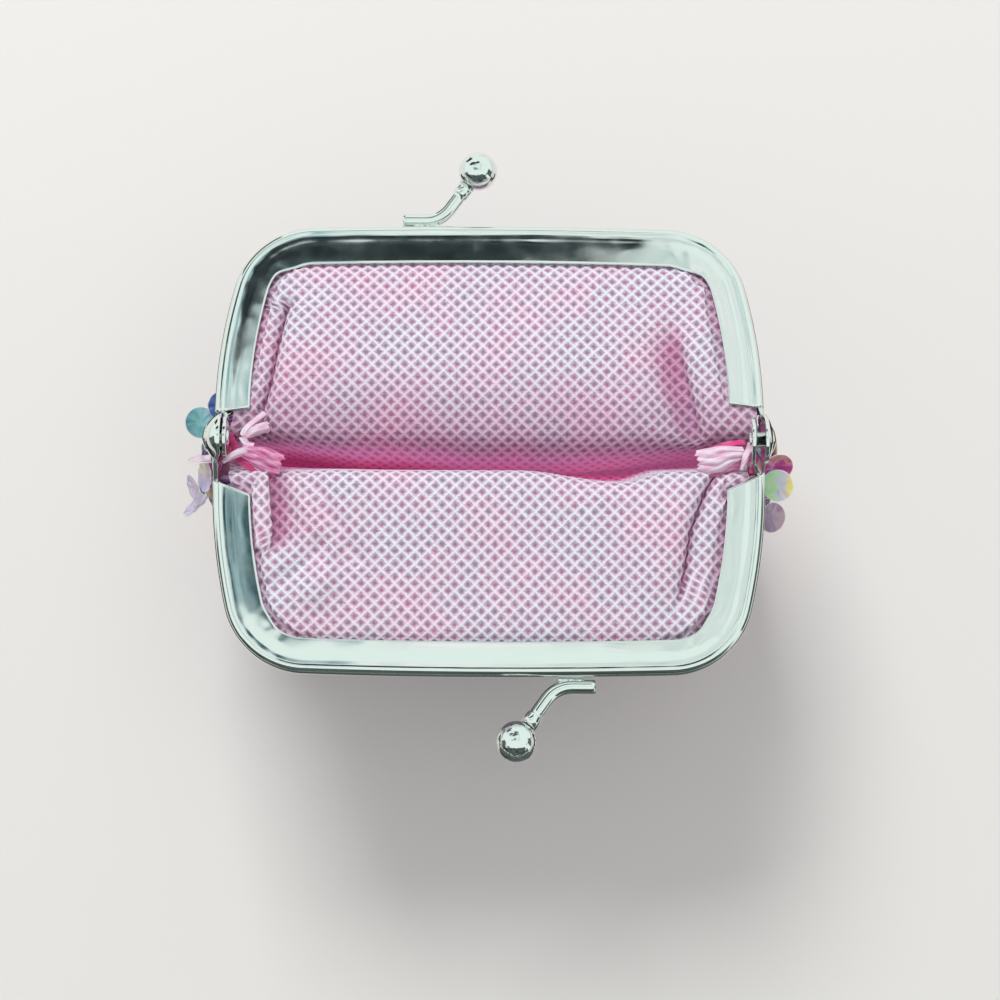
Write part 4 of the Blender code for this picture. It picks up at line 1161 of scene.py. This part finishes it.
# Paper cords. Twisted kraft paper, pushed into the channel over the cloth's edge before the frame
# is pinched shut. Only its ends can be seen, down inside the ends of the channel.
kraft, tree, shader = new_material("twisted_kraft_paper", {"Roughness": 0.85})
where = node(tree, "TexCoord", {}).outputs["Object"]
fibre = node(tree, "TexNoise", {"Vector": where, "Scale": 1400.0, "Detail": 5.0})
twist = node(tree, "TexWave", {
    "Vector": where, "Scale": 320.0, "Distortion": 2.0,
}, bands_direction="DIAGONAL")
pulp = node(tree, "Mix", {0: fibre, 6: colour("B9A88A"), 7: colour("E4DAC2")}, data_type="RGBA")
ply = node(tree, "Math", {0: fibre, 1: 0.4, 2: twist.outputs["Fac"]}, operation="MULTIPLY_ADD")
relief = node(tree, "Bump", {"Height": ply, "Strength": 0.6, "Distance": 0.12 * MM})
feed(tree, shader, {"Base Color": pulp, "Normal": relief})
for prefix in HALVES:
    cord_node = bpy.data.objects[prefix + "_paper_cord"]
    cord_node.data.materials.clear()
    cord_node.data.materials.append(kraft)

# Hinge rivets. Nickel plated steel, one through both lugs at each side: a plain shank shows in the
# gap between the lugs, and its domed head is spread over the cupped lug.
RIVET_RADIUS = 1.3
RIVET_SIDES = 48
RIVET_PROFILE = [
    # radius, and how far out it lies, from the top of the dome round to the shank's inner end
    (0.0, 44.25), (0.5, 44.22), (1.0, 44.12), (1.5, 43.95), (1.9, 43.75), (2.1, 43.62),
    (2.2, 43.52), (2.2, 43.44), (2.1, 43.38), (RIVET_RADIUS, 43.3),
    (RIVET_RADIUS, 40.25), (1.2, 40.1), (0.8, 40.02), (0.0, 40.0),
]
for name, hand in (("left_hinge_rivet", -1), ("right_hinge_rivet", 1)):
    bm = spun([(x * hand, 0, radius) for radius, x in RIVET_PROFILE], (1, 0, 0), RIVET_SIDES)
    bm.transform(Matrix.Scale(MM, 4) @ Matrix.Translation((0, 0, HINGE_Z)))
    rivet = piece_from(bm, name.replace("hinge_rivet", "rivet"), plated_steel)
    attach(rivet, "pouch")
    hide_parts(name)

# Clasp. Each half carries a steel ball on a bent wire that is brazed along the back of its bar.
# The wire is cut square at its toe, and its last 2 mm below the ball is a slightly wider sleeve.
WIRE_RADIUS = 1.1
SLEEVE_RADIUS = 1.3
SLEEVE_LENGTH = 2.0
BALL_RADIUS = 3.1
BALL_OUT = 9.2
FRONT_BALL_FURTHER = 0.5
FOOT_S = HALF_HEIGHT + 1.3
FOOT_TOE = 12.0
FOOT_HEEL = 6.0
WIRE_BEND = 2.6
BRAZE_STEPS = 24
BALL_X = {"back": -2.0, "front": 4.4}
STEM_SIDES = 36
BEAD_SIDES = 12


def tube(name, points, radii, around):
    """A round steel bar along points in mm, with the radius given at each and closed ends."""
    points = [points[0]] * 2 + points + [points[-1]] * 2
    radii = [0, radii[0] * 0.85] + list(radii) + [radii[-1] * 0.85, 0]

    def place(column, row):
        turn = 2 * math.pi * column / around
        low, high = max(row - 2, 1), min(row + 2, len(points) - 2)
        along = (points[high] - points[low]).normalized()
        wide = along.cross(Vector((0.13, 0.21, 1))).normalized()
        up = wide.cross(along)
        return points[row] + (wide * math.cos(turn) + up * math.sin(turn)) * radii[row]

    bm = grid_mesh(around, len(points) - 1, place)
    weld(bm, 1e-7)
    return piece_from(bm, name, plated_steel)


for prefix, side in HALVES.items():
    middle_n = FRAME_FACE + FRAME_THICKNESS / 2
    ball_x = BALL_X[prefix]
    ball = Vector((ball_x, HALF_HEIGHT + BALL_OUT + (FRONT_BALL_FURTHER if side < 0 else 0), 0.0))
    heel = Vector((ball_x - side * FOOT_HEEL, FOOT_S, middle_n))
    toe = Vector((ball_x - side * FOOT_TOE, FOOT_S, middle_n))
    rise = (ball - heel).normalized()
    tip = ball - rise * (BALL_RADIUS - 0.1)
    start = heel + (toe - heel).normalized() * WIRE_BEND
    end = heel + rise * WIRE_BEND
    route = [toe.lerp(start, k / 6) for k in range(6)]
    route += [start.lerp(heel, k / 14).lerp(heel.lerp(end, k / 14), k / 14) for k in range(15)]
    sleeve_from = tip - rise * SLEEVE_LENGTH
    route += [end.lerp(sleeve_from, k / 5) for k in range(1, 6)]
    radii = [WIRE_RADIUS] * len(route)
    route += [sleeve_from.lerp(tip, share) for share in (0.06, 0.12, 0.5, 1.0)]
    radii += [SLEEVE_RADIUS - 0.05, SLEEVE_RADIUS, SLEEVE_RADIUS, SLEEVE_RADIUS]
    world = [on_half(side, *point) for point in route]
    stem = tube(prefix + "_stem", world, radii, STEM_SIDES)
    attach(stem, prefix + "_frame")
    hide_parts(prefix + "_clasp_stem")
    bm = bmesh.new()
    bmesh.ops.create_icosphere(bm, subdivisions=6, radius=BALL_RADIUS)
    for vert in bm.verts:
        dent = noise.noise(vert.co * 1.1) * 0.012 + noise.noise(vert.co * 3.8) * 0.006
        vert.co *= 1 + dent * (1.0 if side < 0 else 0.7)
    bm.transform(Matrix.Scale(MM, 4) @ Matrix.Translation(on_half(side, *ball)))
    ball_piece = piece_from(bm, prefix + "_ball", plated_steel)
    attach(ball_piece, prefix + "_frame")
    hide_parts(prefix + "_clasp_ball")
    draw = random.Random(prefix + " braze")
    braze = []
    for k in range(BRAZE_STEPS + 1):
        along = toe.lerp(heel, mix(0.3, 0.95, k / BRAZE_STEPS))
        s = FOOT_S - 1.0 + draw.uniform(-0.05, 0.1)
        braze.append(on_half(side, along.x, s, middle_n - 0.35 + draw.uniform(-0.15, 0.15)))
    bead = tube(prefix + "_braze", braze, [draw.uniform(0.16, 0.42) for place in braze], BEAD_SIDES)
    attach(bead, prefix + "_frame")

# Studio. A plain pale floor that runs out of sight and a pale surround, lit softly from behind the
# purse, with dark cards that only the metal sees, to give its mirror finish its darker bands.
FLOOR_TONE = "E2E1DE"
SURROUND_LIGHT = 0.58        # share of the surround's brightness that lights the purse
CAMERA_REACH = 350
CAMERA_TILT = math.radians(14.7)
CAMERA_ROLL = math.radians(0.32)
CAMERA_LENS = 81.64
CAMERA_SHIFT = (0.0109, -0.061)
STAGE_CARDS = [
    # name, place, point it faces, width, height, darkest and palest tone, and width and length of
    # its soft patches
    ("dark_band", (-315, 440, 643), (-315, 0, 58), 800, 186, "242C2F", "3D4649", (90, 40)),
    ("silver_patches", (-205, 285, 705), (-205, 0, 58), 290, 150, "86B4BE", "F2FCF8", (34, 60)),
    ("teal_edge", (-104, 8, 696), (-104, 0, 58), 46, 100, "1E343B", "44636B", (30, 60)),
    ("teal_patches", (-200, 0, 700), (-200, 0, 58), 280, 110, "3A565F", "A9C6CB", (40, 60)),
    ("pale_streaks", (150, 150, 705), (150, 0, 58), 190, 560, "C6DDD7", "FFFFFF", (18, 300)),
    ("smudges", (0, -10, 710), (0, 0, 58), 220, 130, "C4D8D1", "FFFFFF", (60, 20)),
    ("low_front", (0, -640, 290), (0, 0, 58), 1700, 680, "363F3D", "636E6C", (200, 100)),
    ("floor_in_front", (0, -290, 3), (0, -290, 58), 360, 456, "3D4543", "6A7472", (60, 40)),
    ("low_left", (-560, -120, 150), (0, 0, 58), 240, 300, "39423F", "69746F", (90, 60)),
    ("low_left_behind", (-370, 530, 140), (0, 0, 58), 300, 300, "232826", "4A524E", (90, 60)),
    ("low_left_in_front", (-480, -330, 150), (0, 0, 58), 400, 300, "232826", "4A524E", (90, 60)),
    ("low_right", (560, -90, 190), (0, 0, 58), 300, 330, "33403D", "6C7A74", (90, 60)),
    ("floor_left_behind", (-75, 34, 3), (-75, 34, 58), 44, 44, "191A18", "3C3935", (40, 40)),
    ("floor_left_in_front", (-120, -24, 3), (-120, -24, 58), 76, 72, "191A18", "3C3935", (40, 40)),
    ("floor_right_behind", (75, 34, 3), (75, 34, 58), 44, 44, "3A1D24", "5A3940", (40, 40)),
    ("floor_right_in_front", (120, -24, 3), (120, -24, 58), 76, 72, "191A18", "3C3935", (40, 40)),
]
LAMPS = [
    # name, place, size and power in watts
    ("key_behind", (-240, 680, 980), 460, 8.8),
    ("fill_above", (200, -100, 800), 420, 0.6),
]


def aimed(place, faces):
    """Matrix that puts something at a place in mm, facing a point."""
    spot = Vector(place)
    turn = (Vector(faces) - spot).to_track_quat("-Z", "Y")
    return Matrix.Translation(spot * MM) @ turn.to_matrix().to_4x4()


def stage_piece(name, width, height, matrix, material):
    bm = bmesh.new()
    matrix = matrix @ Matrix.Diagonal((width * MM, height * MM, 1, 1))
    bmesh.ops.create_grid(bm, x_segments=1, y_segments=1, size=0.5, matrix=matrix)
    piece = object_from(bm, name, material)
    return piece


paint, tree, shader = new_material("pale_matt_paint", {
    "Base Color": colour(FLOOR_TONE), "Roughness": 0.8, "Specular IOR Level": 0.2,
})
stage_piece("floor", 6000, 6000, Matrix.Identity(4), paint)

for name, place, faces, width, height, dark, pale, patch in STAGE_CARDS:
    matt, tree, shader = new_material(name, {
        "Base Color": (0, 0, 0, 1), "Specular IOR Level": 0.0, "Emission Strength": 1.0,
    })
    where = node(tree, "TexCoord", {}).outputs["Object"]
    scale = (1000 / patch[0], 1000 / patch[1], 1000 / patch[1])
    stretch = node(tree, "Mapping", {"Vector": where, "Scale": scale})
    cloud = node(tree, "TexNoise", {"Vector": stretch, "Scale": 1.0, "Detail": 1.5})
    share = node(tree, "MapRange", {"Value": cloud, "From Min": 0.36, "From Max": 0.62})
    tone = node(tree, "Mix", {0: share, 6: colour(dark), 7: colour(pale)}, data_type="RGBA")
    feed(tree, shader, {"Emission Color": tone})
    card = stage_piece(name, width, height, aimed(place, faces), matt)
    for ray_kind in ("camera", "diffuse", "shadow", "transmission"):
        setattr(card, "visible_" + ray_kind, False)

for name, place, size, power in LAMPS:
    light = bpy.data.lights.new(name, "AREA")
    light.size = size * MM
    light.energy = power
    lamp = bpy.data.objects.new(name, light)
    lamp.matrix_world = aimed(place, (0, 0, HINGE_Z))
    lamp.visible_glossy = False
    bpy.context.scene.collection.objects.link(lamp)

world = bpy.data.worlds.new("pale_surround")
bpy.context.scene.world = world
world.use_nodes = True
tree = world.node_tree
ray = node(tree, "LightPath", {}).outputs
seen = node(tree, "Math", {0: ray["Is Camera Ray"], 1: ray["Is Glossy Ray"]}, operation="MAXIMUM")
seen = node(tree, "Math", {0: seen, 1: ray["Is Transmission Ray"]}, operation="MAXIMUM")
power = node(tree, "MapRange", {"Value": seen, "To Min": SURROUND_LIGHT, "To Max": 1.0})
sky = node(tree, "Mix", {
    0: ray["Is Glossy Ray"], 6: colour("FBFBFB"), 7: colour("F0FDF9"),
}, data_type="RGBA")
feed(tree, tree.nodes["Background"], {"Color": sky, "Strength": power})

lens = bpy.data.cameras.new("camera")
lens.sensor_width = 36
lens.lens = CAMERA_LENS
lens.shift_x, lens.shift_y = CAMERA_SHIFT
lens.clip_start = 0.01
camera = bpy.data.objects.new("camera", lens)
turn = Matrix.Rotation(CAMERA_TILT, 4, "X") @ Matrix.Rotation(CAMERA_ROLL, 4, "Z")
hinge_line = Matrix.Translation((0, 0, HINGE_Z * MM))
camera.matrix_world = hinge_line @ turn @ Matrix.Translation((0, 0, CAMERA_REACH * MM))
bpy.context.scene.collection.objects.link(camera)
bpy.context.scene.camera = camera
bpy.context.scene.view_settings.view_transform = "Standard"
